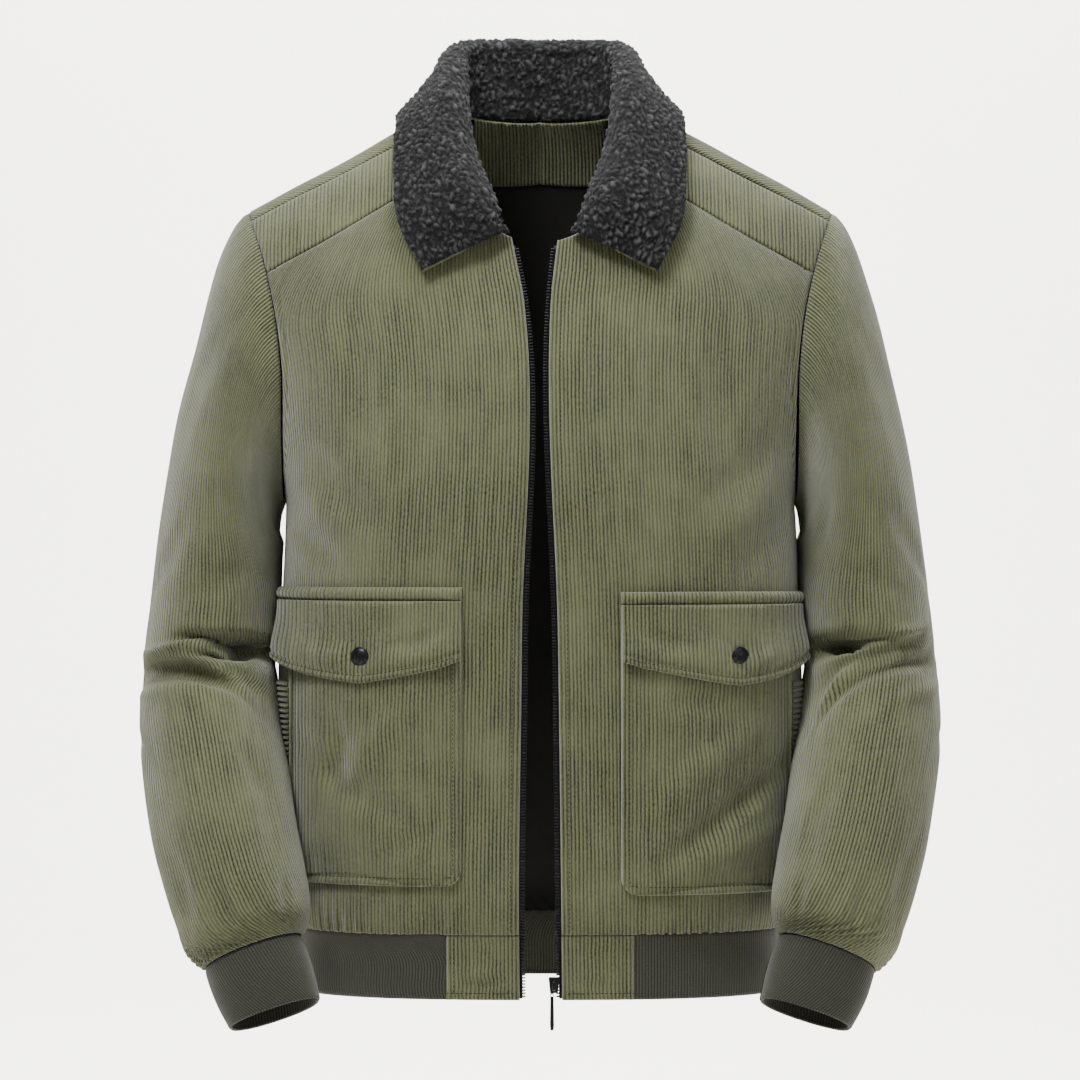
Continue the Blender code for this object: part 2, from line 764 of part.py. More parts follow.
def build_wall(piece, lift=0.0, gap=SEAM_GAP / 2):
    """Give a piece its wall, from its outer points inwards, and close its edges."""
    edges = edge_steps(piece)
    order = [(round(float(point[2]), 2), round(float(point[1]), 2), round(abs(float(point[0])), 2))
             for point in piece.points]
    draw_in(piece, edges, gap)
    count = len(piece.points)
    walls = piece.walls if hasattr(piece, "walls") else [piece.thickness] * count
    mesh_data = bmesh.new()
    outer, inner = [], []
    for index in range(count):
        surface = piece.points[index] + piece.normals[index] * lift
        depth = walls[index]
        outer.append(mesh_data.verts.new(surface * MM))
        inner.append(mesh_data.verts.new((surface - piece.normals[index] * depth) * MM))
    for face in piece.faces:
        mesh_data.faces.new([outer[index] for index in face])
        mesh_data.faces.new([inner[index] for index in reversed(face)])
    for first, last in edges:
        if order[first] < order[last]:
            mesh_data.faces.new((outer[last], outer[first], inner[last]))
            mesh_data.faces.new((outer[first], inner[first], inner[last]))
        else:
            mesh_data.faces.new((outer[last], outer[first], inner[first]))
            mesh_data.faces.new((outer[last], inner[first], inner[last]))
    return add_object(piece.name, mesh_data, piece.colour, piece.roughness)


# ---------------------------------------------------------------- pieces that lie on a front

def on_front(column, height, side):
    """Point on the front's own facets below the armpit, and its outward direction."""
    low = min(int(column), COLUMNS - 1)
    row = max(index for index, level in enumerate(HEIGHTS) if level <= height or index == 1)
    across = column - low
    up = (height - HEIGHTS[row]) / (HEIGHTS[row + 1] - HEIGHTS[row])
    corners = [front_point(low + right, HEIGHTS[row + above], side)
               for right, above in ((0, 0), (1, 0), (1, 1), (0, 1))]
    first, second, third, fourth = corners
    if across > up:
        right, above = second - first, third - second
    else:
        right, above = third - fourth, fourth - first
    normal = np.cross(right, above) * side
    return first + right * across + above * up, normal / np.linalg.norm(normal)


def grid_normals(piece):
    """Outward direction at each point, from the piece's own faces."""
    shared_normals([piece])
    return piece.normals


def laid_piece(name, side, edges_at, heights_at, wall, lift, rows, colour=OLIVE):
    """Piece on a front between two columns; rows are shares of its height at each column."""
    middle = heights_at(0.5)
    left, right = edges_at(0.5, sum(middle) / 2)
    inside = [float(column) for column in range(math.ceil(left + 0.03), math.floor(right - 0.03) + 1)]
    rows_of_points = []
    for share in rows:
        row = []
        for place in range(len(inside) + 2):
            bottom, top = heights_at(place / (len(inside) + 1))
            height = mix(bottom, top, share)
            left, right = edges_at(share, height)
            column = right if place > len(inside) else left
            if 0 < place <= len(inside):
                column = min(max(inside[place - 1], left + 0.04 * place),
                             right - 0.04 * (len(inside) + 1 - place))
            row.append(on_front(column, height, side)[0])
        rows_of_points.append(row)
    piece = grid_piece(name, rows_of_points, wall, colour, side < 0)
    grid_normals(piece)
    piece.lift = lift + wall
    return piece


def pocket_names(part, side):
    """Node name of a pocket's part."""
    return f"pocket_{part}_{'right' if side < 0 else 'left'}"


def pocket_patch(side, flap_top, inner_edge, bottom):
    """Patch with rounded lower corners."""
    top = flap_top - 0.5

    def edges_at(_, height):
        above = max(0.0, height - bottom)
        pull = 0.0
        if above < PATCH_CORNER:
            pull = PATCH_CORNER - math.sqrt(PATCH_CORNER ** 2 - (PATCH_CORNER - above) ** 2)
        return (column_at(inner_edge + pull, height, side),
                column_at(PATCH_OUTER - pull * 0.4, height, side))

    reach = top - bottom
    corner = PATCH_CORNER / reach
    levels_inside = [(height - bottom) / reach for height in HEIGHTS[3:6]]
    rows = (0.0, corner * 0.2, corner * 0.55, corner, *levels_inside, 0.85, 1.0)
    return laid_piece(pocket_names("patch", side), side, edges_at, lambda _: (bottom, top),
                      PATCH_WALL, 2 * SEAM_GAP, rows)


def pocket_flap(side, flap_top, corner_z, point_z, point_x, inner_edge):
    """Flap whose lower edge runs down to a point."""
    point_column = column_at(point_x, point_z, side)
    first = column_at(inner_edge, corner_z, side)
    last = column_at(FLAP_OUTER, corner_z, side)

    def heights_at(spread):
        column = mix(first, last, spread)
        if column < point_column:
            share = (column - first) / (point_column - first)
        else:
            share = (last - column) / (last - point_column)
        softened = (share + math.sin(share * math.pi / 2)) / 2
        return mix(corner_z, point_z, softened), flap_top

    def edges_at(_, height):
        return (column_at(inner_edge, height, side), column_at(FLAP_OUTER, height, side))

    lift = PATCH_WALL + 3 * SEAM_GAP
    return laid_piece(pocket_names("flap", side), side, edges_at, heights_at, FLAP_WALL, lift,
                      (0.0, 0.12, 0.5, 0.85, 1.0))


def pocket_welt(side, welt_top, flap_top, inner_edge):
    """Folded strip above the flap."""
    def edges_at(_, height):
        return (column_at(inner_edge - 0.5, height, side), column_at(FLAP_OUTER, height, side))

    piece = laid_piece(pocket_names("welt", side), side, edges_at,
                       lambda _: (flap_top + SEAM_GAP * 2, welt_top), WELT_WALL, SEAM_GAP,
                       (0.0, 0.3, 0.7, 1.0))
    count = len(piece.points) // 4
    for index in range(len(piece.points)):
        if index // count in (0, 3):
            piece.points[index] = piece.points[index] - piece.normals[index] * 1.6
    piece.walls = [WELT_WALL - (1.6 if index // count in (0, 3) else 0.0)
                   for index in range(len(piece.points))]
    return piece


def pocket_trim(side):
    """Ribbed strip beside the pocket's side opening."""
    rows = [step / (2 * TRIM_RIBS) for step in range(2 * TRIM_RIBS + 1)]
    bottom = TRIM_TOP - TRIM_RIBS * TRIM_PITCH

    def edges_at(_, height):
        return (column_at(TRIM_X[0], height, side), column_at(TRIM_X[1], height, side))

    piece = laid_piece(pocket_names("trim", side), side, edges_at, lambda _: (bottom, TRIM_TOP),
                       TRIM_WALL[1], SEAM_GAP, rows, DARK_OLIVE)
    count = len(piece.points) // len(rows)
    drop = TRIM_WALL[1] - TRIM_WALL[0]
    piece.walls = []
    for index in range(len(piece.points)):
        fall = 0.0 if (index // count) % 2 else drop
        piece.points[index] = piece.points[index] - piece.normals[index] * fall
        piece.walls.append(TRIM_WALL[1] - fall)
    return piece


def add_snap(side, x):
    """Domed snap cap on a flap."""
    column = column_at(x, SNAP_HEIGHT, side)
    point, normal = on_front(column, SNAP_HEIGHT, side)
    base = PATCH_WALL + FLAP_WALL + 5 * SEAM_GAP
    mesh_data = bmesh.new()
    bmesh.ops.create_circle(mesh_data, cap_ends=True, segments=14, radius=SNAP_RADIUS * MM)
    for height, share in ((0.55, 1.0), (0.45, 0.72)):
        top = [face for face in mesh_data.faces if face.normal.z > 0.5 or len(mesh_data.faces) == 1]
        highest = max(top, key=lambda face: face.calc_center_median().z)
        grown = bmesh.ops.extrude_face_region(mesh_data, geom=[highest])["geom"]
        verts = [item for item in grown if isinstance(item, bmesh.types.BMVert)]
        bmesh.ops.translate(mesh_data, verts=verts, vec=(0, 0, SNAP_DOME * height * MM))
        bmesh.ops.scale(mesh_data, verts=verts, vec=(share, share, 1))
        if highest.is_valid and highest.calc_center_median().z > 0:
            bmesh.ops.delete(mesh_data, geom=[highest], context="FACES_ONLY")
    bmesh.ops.recalc_face_normals(mesh_data, faces=mesh_data.faces)
    turn = Vector((0, 0, 1)).rotation_difference(Vector(normal)).to_matrix().to_4x4()
    place = Matrix.Translation(Vector((point + normal * base) * MM)) @ turn
    bmesh.ops.transform(mesh_data, matrix=place, verts=mesh_data.verts)
    add_object(pocket_names("snap", side), mesh_data, BLACK, 0.35)


def add_pockets():
    """Both pockets with their flaps, welts, trims and snaps."""
    for side, welt_top, flap_top, corner_z, point_z, point_x, inner_edge, bottom in POCKETS:
        pieces = (pocket_patch(side, flap_top, inner_edge, bottom),
                  pocket_flap(side, flap_top, corner_z, point_z, point_x, inner_edge),
                  pocket_welt(side, welt_top, flap_top, inner_edge),
                  pocket_trim(side))
        for piece in pieces:
            build_wall(piece, lift=piece.lift, gap=0.0)
        add_snap(side, point_x)


# ---------------------------------------------------------------- collar and neck

def on_arc(first, middle, last, share):
    """Point on the circle through three points, from the first (0) over the middle (1) to the last."""
    start, top, end = (np.array(point, float) for point in (first, middle, last))
    one, two = top - start, end - start
    axis = np.cross(one, two)
    size = float(axis @ axis)
    centre = start + (np.cross(axis, one) * (two @ two) + np.cross(two, axis) * (one @ one)) / (2 * size)
    spokes = [point - centre for point in (start, top, end)]
    radius = np.linalg.norm(spokes[0])
    low = int(min(share, 0.999))
    opening = math.acos(max(-1.0, min(1.0, float(spokes[low] @ spokes[low + 1]) / radius ** 2)))
    turn = Matrix.Rotation((share - low) * opening, 3, Vector(axis))
    return centre + np.array(turn @ Vector(spokes[low]))


def along_path(corners, row):
    """Point on a collar's path: smooth curves through its corners, and an arc over its roll."""
    if 1 < row < 3:
        return on_arc(corners[1], corners[2], corners[3], row - 1)
    places = [0.0]
    for first, last in zip(corners, corners[1:]):
        places.append(places[-1] + max(0.5, math.dist(first, last)))
    table = tuple((place, *corner) for place, corner in zip(places, corners))
    low = min(int(row), len(corners) - 2)
    place = mix(places[low], places[low + 1], row - low)
    return np.array([smooth(table, place, column) for column in (1, 2, 3)])


@functools.lru_cache(maxsize=None)
def collar_corners(place):
    """Foot, inner side, top, outer side and edge of the collar at a station or between two."""
    table = tuple((index, *line[1:]) for index, line in enumerate(COLLAR))
    values = [smooth(table, place, column) for column in range(1, 16)]
    return [tuple(values[start:start + 3]) for start in range(0, 15, 3)]


def collar_point(station, row):
    """Point of the collar's shown face; the station's sign is the side."""
    corners = collar_corners(abs(station))
    return along_path(corners, row) * (-1 if station < 0 else 1, 1, 1)


def collar_pieces():
    """Fleece collar, and the under collar that backs its fall."""
    last = (len(COLLAR) - 1) * COLLAR_STEPS
    stations = [index / COLLAR_STEPS for index in range(-last, last + 1)]
    rows = [[collar_point(station, row) for station in stations] for row in COLLAR_ROWS]
    fleece = grid_piece("collar", rows, FLEECE, CHARCOAL, False, mirrored_to=last)
    grid_normals(fleece)
    first = COLLAR_ROWS.index(UNDER_FROM)
    count = len(stations)
    fleece.walls = [COLLAR_WALLS[index // count] for index in range(len(fleece.points))]
    depth = FLEECE + SEAM_GAP
    under_rows = []
    normals = []
    for row in range(first, len(COLLAR_ROWS)):
        line = []
        for index in range(row * count, (row + 1) * count):
            line.append(fleece.points[index] - fleece.normals[index] * depth)
            normals.append(fleece.normals[index])
        under_rows.append(line)
    before = under_rows[-2]
    under_rows[-1] = [mix(start, end, 0.85) for start, end in zip(before, under_rows[-1])]
    under = grid_piece("under_collar", under_rows, FACING, OLIVE, False, mirrored_to=last)
    under.normals = normals
    return fleece, under


def neck_facing(back):
    """Corduroy facing inside the back of the neck, laid on the back's inner side."""
    top = max(key[0] for key in back.places if key[0] != "hem" and abs(key[1]) < NECK_COLUMNS)
    rows = []
    normals = []
    for row_index in range(top - 4, top + 1):
        row = []
        for column in range(-2, 3):
            index = back.places[(row_index, column)]
            row.append(back.points[index] - back.normals[index] * (CORDUROY + SEAM_GAP))
            normals.append(back.normals[index])
        rows.append(row)
    piece = grid_piece("neck_facing", rows, FACING, OLIVE, True)
    piece.normals = normals
    return piece


# ---------------------------------------------------------------- zip

ZIP_HEIGHTS = (-700, -668.5, *HEIGHTS, -315, -270, -225, -185, -150, -130, -114)


def zip_strip(name, side, inner_at, outer_at, depth, wall, colour):
    """Strip beside the front opening, between two x values, at a depth under the cloth."""
    rows = []
    normals = []
    for height in ZIP_HEIGHTS:
        nominal = height
        row = []
        for edge in (inner_at, outer_at):
            x = edge(height)
            if height > ARMPIT:
                ridge = smooth(RIDGE, x, 1)
                nominal = height_of((height - ARMPIT) / (ridge - ARMPIT))
            point = torso_point(x, nominal, -1)
            above = torso_point(x, nominal + 1, -1)
            aside = torso_point(x + 1, nominal, -1)
            normal = np.cross(aside - point, above - point)
            normal = normal / np.linalg.norm(normal)
            row.append((point - normal * depth) * (side, 1, 1))
            normals.append(normal * (side, 1, 1))
        rows.append(row)
    piece = grid_piece(name, rows, wall, colour, side < 0)
    piece.normals = normals
    return piece


def zip_pieces():
    """Tape and chain of both sides."""
    pieces = []
    for side in (-1, 1):
        label = "right" if side < 0 else "left"

        def free_edge(height, side=side):
            return zip_edge(height, side)

        def chain_edge(height, side=side):
            return zip_edge(height, side) + CHAIN_WIDTH

        def tape_start(height, side=side):
            return zip_edge(height, side) + CHAIN_WIDTH + SEAM_GAP

        def tape_end(height, side=side):
            return front_edge(height, side) + 6

        depth = ZIP_DEPTH
        pieces.append(zip_strip(f"zip_tape_{label}", side, tape_start, tape_end, depth, 1.0, BLACK))
        pieces.append(zip_strip(f"zip_chain_{label}", side, free_edge, chain_edge, depth - 1.6, 2.4,
                                BLACK))
    return pieces


def add_block(name, centre, size, bevel, colour, roughness, metallic):
    """Rounded block."""
    mesh_data = bmesh.new()
    bmesh.ops.create_cube(mesh_data, size=1.0)
    bmesh.ops.scale(mesh_data, verts=mesh_data.verts, vec=[length * MM for length in size])
    bmesh.ops.bevel(mesh_data, geom=list(mesh_data.edges), offset=bevel * MM, segments=1,
                    profile=0.5, affect="EDGES", material=-1)
    bmesh.ops.translate(mesh_data, verts=mesh_data.verts, vec=[value * MM for value in centre])
    return add_object(name, mesh_data, colour, roughness, metallic)


def add_slider():
    """Slider at the bottom of the wearer's left chain, and the pull that hangs on its crown."""
    x, z = SLIDER_AT
    chain = torso_point(x, z, -1)
    front = chain[1] + ZIP_DEPTH - 1.6
    thickness = SLIDER[1]
    y = front - thickness / 2 - SLIDER_GAP
    add_block("zip_slider", (x, y, z), SLIDER, 1.2, GUNMETAL, 0.4, 0.8)
    pin_y = y - thickness / 2 - TAB[1] / 2 - 0.7
    width, depth, length = TAB
    add_block("zip_pull_tab", (x - 1.5, pin_y, TAB_PIN - length / 2 + 0.9), (width, depth, length),
              0.6, GUNMETAL, 0.4, 0.8)


# ---------------------------------------------------------------- build

def clear_scene():
    """Remove the objects that the file starts with."""
    for item in list(bpy.data.objects):
        bpy.data.objects.remove(item, do_unlink=True)


def main():
    """Build the jacket."""
    clear_scene()
    back = back_panel()
    sewn = [front_panel(-1), front_panel(1), yoke_panel(-1), yoke_panel(1), back,
            sleeve_panel(-1), sleeve_panel(1), cuff_panel(-1), cuff_panel(1),
            hem_tab(-1), hem_tab(1), hem_band()]
    shared_normals(sewn)
    turn_armpits(sewn)
    facing = neck_facing(back)
    for piece in sewn:
        build_wall(piece)
    build_wall(facing)
    for piece in collar_pieces():
        build_wall(piece, gap=0.0)
    add_pockets()
    for piece in zip_pieces():
        build_wall(piece, gap=0.0)
    add_slider()


main()
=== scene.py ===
"""Looks of a corduroy zip jacket with a curly fleece collar, filled out as it is worn.

Form sizes are millimetres until a mesh is made. X runs to the wearer's left, Y to the back, Z up,
and the origin is the middle of the neck, level with the high points of the shoulders.
"""
from __future__ import annotations

import logging
import math
from dataclasses import dataclass, field
from enum import Enum
from typing import ClassVar, Iterable, Sequence

import bmesh
import bpy
import numpy as np
from mathutils import Matrix, Vector, noise

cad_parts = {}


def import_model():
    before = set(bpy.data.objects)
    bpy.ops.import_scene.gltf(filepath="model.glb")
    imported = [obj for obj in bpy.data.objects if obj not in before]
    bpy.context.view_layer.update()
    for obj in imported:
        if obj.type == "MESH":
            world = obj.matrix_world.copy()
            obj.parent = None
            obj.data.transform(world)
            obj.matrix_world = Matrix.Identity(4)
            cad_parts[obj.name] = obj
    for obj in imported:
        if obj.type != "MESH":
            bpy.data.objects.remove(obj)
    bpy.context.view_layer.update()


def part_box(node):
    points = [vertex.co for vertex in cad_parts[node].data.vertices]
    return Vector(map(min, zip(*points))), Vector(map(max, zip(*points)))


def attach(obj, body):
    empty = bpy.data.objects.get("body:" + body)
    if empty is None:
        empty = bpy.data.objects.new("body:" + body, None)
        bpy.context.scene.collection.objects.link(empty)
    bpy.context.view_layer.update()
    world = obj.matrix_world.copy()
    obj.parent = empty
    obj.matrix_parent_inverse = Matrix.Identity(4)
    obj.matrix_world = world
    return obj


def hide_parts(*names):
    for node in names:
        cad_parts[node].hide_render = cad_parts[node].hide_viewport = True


LOG = logging.getLogger("jacket")
MM = 0.001
TINY = 1e-9                # keeps a division by a length of nothing harmless
Array = np.ndarray
Point = tuple[float, float, float]


class Side(Enum):
    """Side of the wearer; the value is the sign of X."""

    RIGHT = -1
    LEFT = 1

    @property
    def label(self) -> str:
        """Name of the side in node names."""
        return self.name.lower()


class Face(Enum):
    """Face of the torso; the value is the sign of Y."""

    FRONT = -1
    BACK = 1


# ---- form of the jacket, as in the solids

ARMPIT = -315.0
HEM_SEAM = -651.0
HEM_EDGE = -701.0
ROUND = 2.6               # 2 would make the level sections ellipses
CHEST = {-1: 128.0, 1: 116.0}
CURL = {-1: 1.8, 1: 2.2}
SLEEVE_HOLE = 62.0
# x of the armhole at its foot, what is added at its top, the rise where that starts, and its power
ARM_EDGE = (203.0, 31.0, 0.35, 1.8)
# nominal height, half width, depth of the front, depth of the back
TORSO = (
    (-701, 190, 108, 100),
    (-651, 194, 111, 104),
    (-636, 200, 118, 111),
    (-610, 202, 121, 113),
    (-560, 203, 122, 112),
    (-505, 206, 123, 110),
    (-460, 209, 124, 110),
    (-400, 206, 125, 113),
    (-315, 203, 128, 116),
)
# x and height of the shoulder ridge
RIDGE = ((0, 24), (40, 12), (80, 0), (108, -14), (165, -45), (200, -63), (234, -82))
# nominal height, and x of the third column
PRINCESS = ((-701, 73), (-651, 73), (-400, 78), (-160, 84))
# nominal height, and x of the zip's edge on the right and on the left
ZIP_LINE = (
    (-701, 11.0, 12.5),
    (-646, 11.6, 12.0),
    (-424, 9.3, 9.3),
    (-152, 10.0, 5.0),
    (-112, 17.5, 9.0),
)
ZIP_DEPTH = 2.7
CHAIN_WIDTH = 3.5
TAPE_SHOWN = 1.2
STATIONS_BETWEEN = 8      # of the collar's grid, between two lines of its table
NECK_HALF = 80.0
NECK_DROP = 112.0
BACK_NECK_RISE = 0.917
NECK_CORNER = 70.0
YOKE_RISE = (0.826, 0.745)    # of the yoke seam, by the neck and at the armhole
OVER_RISE = 0.955             # of the shoulder seam, in front of the ridge
NECK_COLUMNS = 3          # columns that end at the neck
COLUMNS = 11              # from the middle or the zip to the side
MIDDLE_RISE = 0.5         # of the armhole's middle
WAY_ROUND = 300.0         # length round a quarter of the body, for the grids
# down the arm, x and height of the outer and the inner side, y, half depth, pitch in degrees
SLEEVE = (
    (0, 234, -82, 203, -315, 0, 62, 0),
    (12, 242, -91, 205.2, -320, -1, 64, 0),
    (30, 251, -108, 206.8, -326, -1, 67, 0),
    (65, 264, -148, 208.2, -336, -2, 70, 0),
    (115, 277, -198, 209.2, -348, -3, 73, 0),
    (180, 291, -258, 209.8, -362, -4, 74, 0),
    (250, 302.5, -328, 210, -380, -5, 73, 0),
    (310, 309.5, -384, 210.5, -402, -7, 71, 2),
    (350, 313.5, -424, 212.5, -424, -11, 69, 6),
    (385, 315.5, -456, 214, -450, -18, 66, 14),
    (420, 316, -488, 210, -488, -36, 62, 24),
    (460, 313, -524, 199, -526, -59, 58, 28),
    (500, 306, -563, 190.5, -564, -80, 56, 28),
    (540, 296.5, -601, 183, -598, -98, 54, 25),
    (575, 283, -642, 179, -622, -112, 50, 21),
    (597, 271, -667, 180, -638, -118, 42, 18),
    (606, 259, -677, 184, -650, -120, 34, 17),
)
SLEEVE_ROUND = 2.2
SLEEVE_LENGTH = 606.0
CUFF_LENGTH = 48.0
INNER_EASE = 0.9          # how much less the elbow fold presses in beside the body
SETTING = 95.0            # length over which the tube takes the armhole's form
CUFF = (
    (0, 259, -677, 184, -650, -120, 34, 17),
    (8, 256, -685, 180, -661, -123, 33, 17),
    (28, 249, -702, 174, -680, -128, 31, 17),
    (48, 239, -721, 169, -698, -134, 28, 17),
)
# foot, inner side of the roll, its top, its outer side, and the edge; from the middle of the back
COLLAR = (
    (0, 49.8, -3.2, 0, 53.5, 48, 0, 66, 63, 0, 79, 48, 0, 77, -14),
    (37, 40.3, -3.2, 38, 49.5, 48, 41, 62, 63, 45, 75, 48, 49, 72, -13),
    (64.2, 25.2, -1, 57, 32, 44, 64, 42, 58.5, 77, 51, 43, 90, 43, -8),
    (77.4, -4, 0.9, 58, 8, 28, 66, 9, 42, 83, 10, 34, 113, 3, -4),
    (76.6, -32, -14, 57, -22, -2, 64, -27, 13, 84, -33, 7, 116, -33, -17),
    (66.8, -65, -54, 49, -53, -43, 58, -66, -33, 80, -71, -36, 116, -64, -51),
    (48, -80, -84.5, 34, -84, -80, 42, -96, -75, 70, -101, -79, 112, -92, -94),
    (22, -98, -103, 27, -105, -103, 36, -108, -108, 58, -108, -118, 92, -108, -134),
)
PATCH_OUTER = 195.0
FLAP_OUTER = 204.0
PATCH_CORNER = 14.0
SNAP_HEIGHT = -434.5
TRIM_X = (196.5, 206.5)
TRIM_TOP = -455.0
TRIM_RIBS = 15
TRIM_PITCH = 4.3
SLIDER_AT = (10.8, -689.0)
SLIDER_GAP = 0.4
SLIDER_SIZE = (8.6, 5.4, 12.5)
TAB_SIZE = (3.0, 1.8, 30.0)


def mix(first: Array | float, last: Array | float, share: Array | float) -> Array | float:
    """Value between two others."""
    return first + (last - first) * share


def cubic(share: Array, ends: tuple[Array, Array], slopes: tuple[Array, Array]) -> Array:
    """Cubic curve between two values with given slopes.

    Args:
        share: 0 at the first end and 1 at the second.
        ends: values at both ends.
        slopes: rise per unit of share at both ends.

    Returns:
        Values of the curve.
    """
    square, cube = share ** 2, share ** 3
    return ((2 * cube - 3 * square + 1) * ends[0] + (cube - 2 * square + share) * slopes[0]
            + (3 * square - 2 * cube) * ends[1] + (cube - square) * slopes[1])


def smooth(table: Sequence[Sequence[float]], place: Array | float, column: int) -> Array:
    """Value of a table's column on a cubic curve through its rows.

    Args:
        table: rows whose first column is the place.
        place: one place or an array of them.
        column: the column that is read.

    Returns:
        The values, in the shape of place.
    """
    rows = np.array(table, float)
    places, values = rows[:, 0], rows[:, column]
    slopes = np.gradient(values, places)
    place = np.asarray(place, float)
    first = np.clip(np.searchsorted(places, place) - 1, 0, len(places) - 2)
    step = places[first + 1] - places[first]
    share = np.clip((place - places[first]) / step, 0, 1)
    return cubic(share, (values[first], values[first + 1]),
                 (step * slopes[first], step * slopes[first + 1]))


def soft_step(value: Array | float, low: float, high: float) -> Array:
    """0 below low, 1 above high, and a smooth rise between them."""
    share = np.clip((np.asarray(value, float) - low) / (high - low), 0, 1)
    return share * share * (3 - 2 * share)


def signed_power(value: Array, exponent: float) -> Array:
    """Power that keeps the sign of its base."""
    return np.sign(value) * np.abs(value) ** exponent


def stack(*parts: Array | float) -> Array:
    """Points from their coordinates, spread to one shape."""
    return np.stack(np.broadcast_arrays(*[np.asarray(part, float) for part in parts]), axis=-1)


def unit(directions: Array) -> Array:
    """Directions of length 1."""
    return directions / np.maximum(np.linalg.norm(directions, axis=-1, keepdims=True), TINY)


def grid_normals(points: Array, closed: bool = False) -> Array:
    """Unit normals of a grid of points, rows by columns.

    Args:
        points: array of rows, columns and 3.
        closed: whether the last column repeats the first.

    Returns:
        Normals along columns cross rows.
    """
    if closed:
        wide = np.concatenate([points[:, -2:-1], points, points[:, 1:2]], axis=1)
        across = np.gradient(wide, axis=1)[:, 1:-1]
    else:
        across = np.gradient(points, axis=1)
    up = np.gradient(points, axis=0)
    return unit(np.cross(across, up))


def run_lengths(points: Array, axis: int) -> Array:
    """Distance along a grid's rows (axis 0) or columns (axis 1) from its first line."""
    steps = np.linalg.norm(np.diff(points, axis=axis), axis=-1)
    start = np.zeros_like(np.take(steps, [0], axis=axis))
    return np.cumsum(np.concatenate([start, steps], axis=axis), axis=axis)


@dataclass(frozen=True)
class Fold:
    """Large fold pressed into a sleeve, along a line round the arm.

    Attributes:
        side: the sleeve.
        first: degrees round the arm and millimetres down it, where the fold starts.
        last: the same where it ends.
        depth: how far the cloth goes in, in millimetres.
        halves: half widths at its start and its end, in millimetres.
        hollow: whether it is the elbow's deep hollow, which is widest at its inner end.
    """

    side: Side
    first: tuple[float, float]
    last: tuple[float, float]
    depth: float
    halves: tuple[float, float]
    hollow: bool = False

    REACH: ClassVar[float] = 0.35      # how far a fold runs on past its ends, as a share of it

    def push(self, down: Array, degrees: Array) -> Array:
        """Depth of the fold.

        Args:
            down: millimetres down the arm.
            degrees: angles round the arm.

        Returns:
            Millimetres that the cloth goes in.
        """
        share = (degrees - self.first[0]) / (self.last[0] - self.first[0])
        half = mix(self.halves[0], self.halves[1], np.clip(share, 0, 1))
        off = np.abs(down - mix(self.first[1], self.last[1], share)) / half
        along = np.maximum(0.0, 1 - np.maximum(0.0, np.abs(share - 0.5) - 0.2) / 0.5)
        if self.hollow:
            along = (np.clip((share + 0.1) * 1.5, 0, 1)
                     * np.maximum(0.0, 1 - np.maximum(0.0, share - 1) * 2.9))
        inside = (off < 1) & (share > -self.REACH) & (share < 1 + self.REACH)
        return np.where(inside, self.depth * along * (1 - np.minimum(off, 1) ** 2) ** 2, 0.0)


@dataclass(frozen=True)
class PocketPlan:
    """Places of one pocket, in millimetres, without the sign of X.

    Attributes:
        side: which side.
        welt_top: height of the welt's upper edge.
        flap_top: height of the flap's upper edge.
        corner: height of the flap's lower corners.
        tip: x and height of the flap's point.
        inner: x of the inner edge.
        bottom: height of the patch's foot.
    """

    side: Side
    welt_top: float
    flap_top: float
    corner: float
    tip: tuple[float, float]
    inner: float
    bottom: float


POCKETS = (
    PocketPlan(Side.RIGHT, -380.5, -391, -437, (138, -455), 60.5, -612),
    PocketPlan(Side.LEFT, -384, -394, -438, (153, -457), 62.5, -619),
)
SLEEVE_FOLDS = (
    Fold(Side.RIGHT, (72, 355), (182, 370), 30, (12, 26), hollow=True),
    Fold(Side.RIGHT, (8, 388), (135, 406), 8, (16, 15)),
    Fold(Side.RIGHT, (200, 378), (330, 370), 6, (16, 18)),
    Fold(Side.LEFT, (76, 352), (182, 370), 26, (13, 27), hollow=True),
    Fold(Side.LEFT, (38, 350), (140, 404), 7, (16, 17)),
    Fold(Side.LEFT, (205, 372), (335, 382), 6, (16, 18)),
)


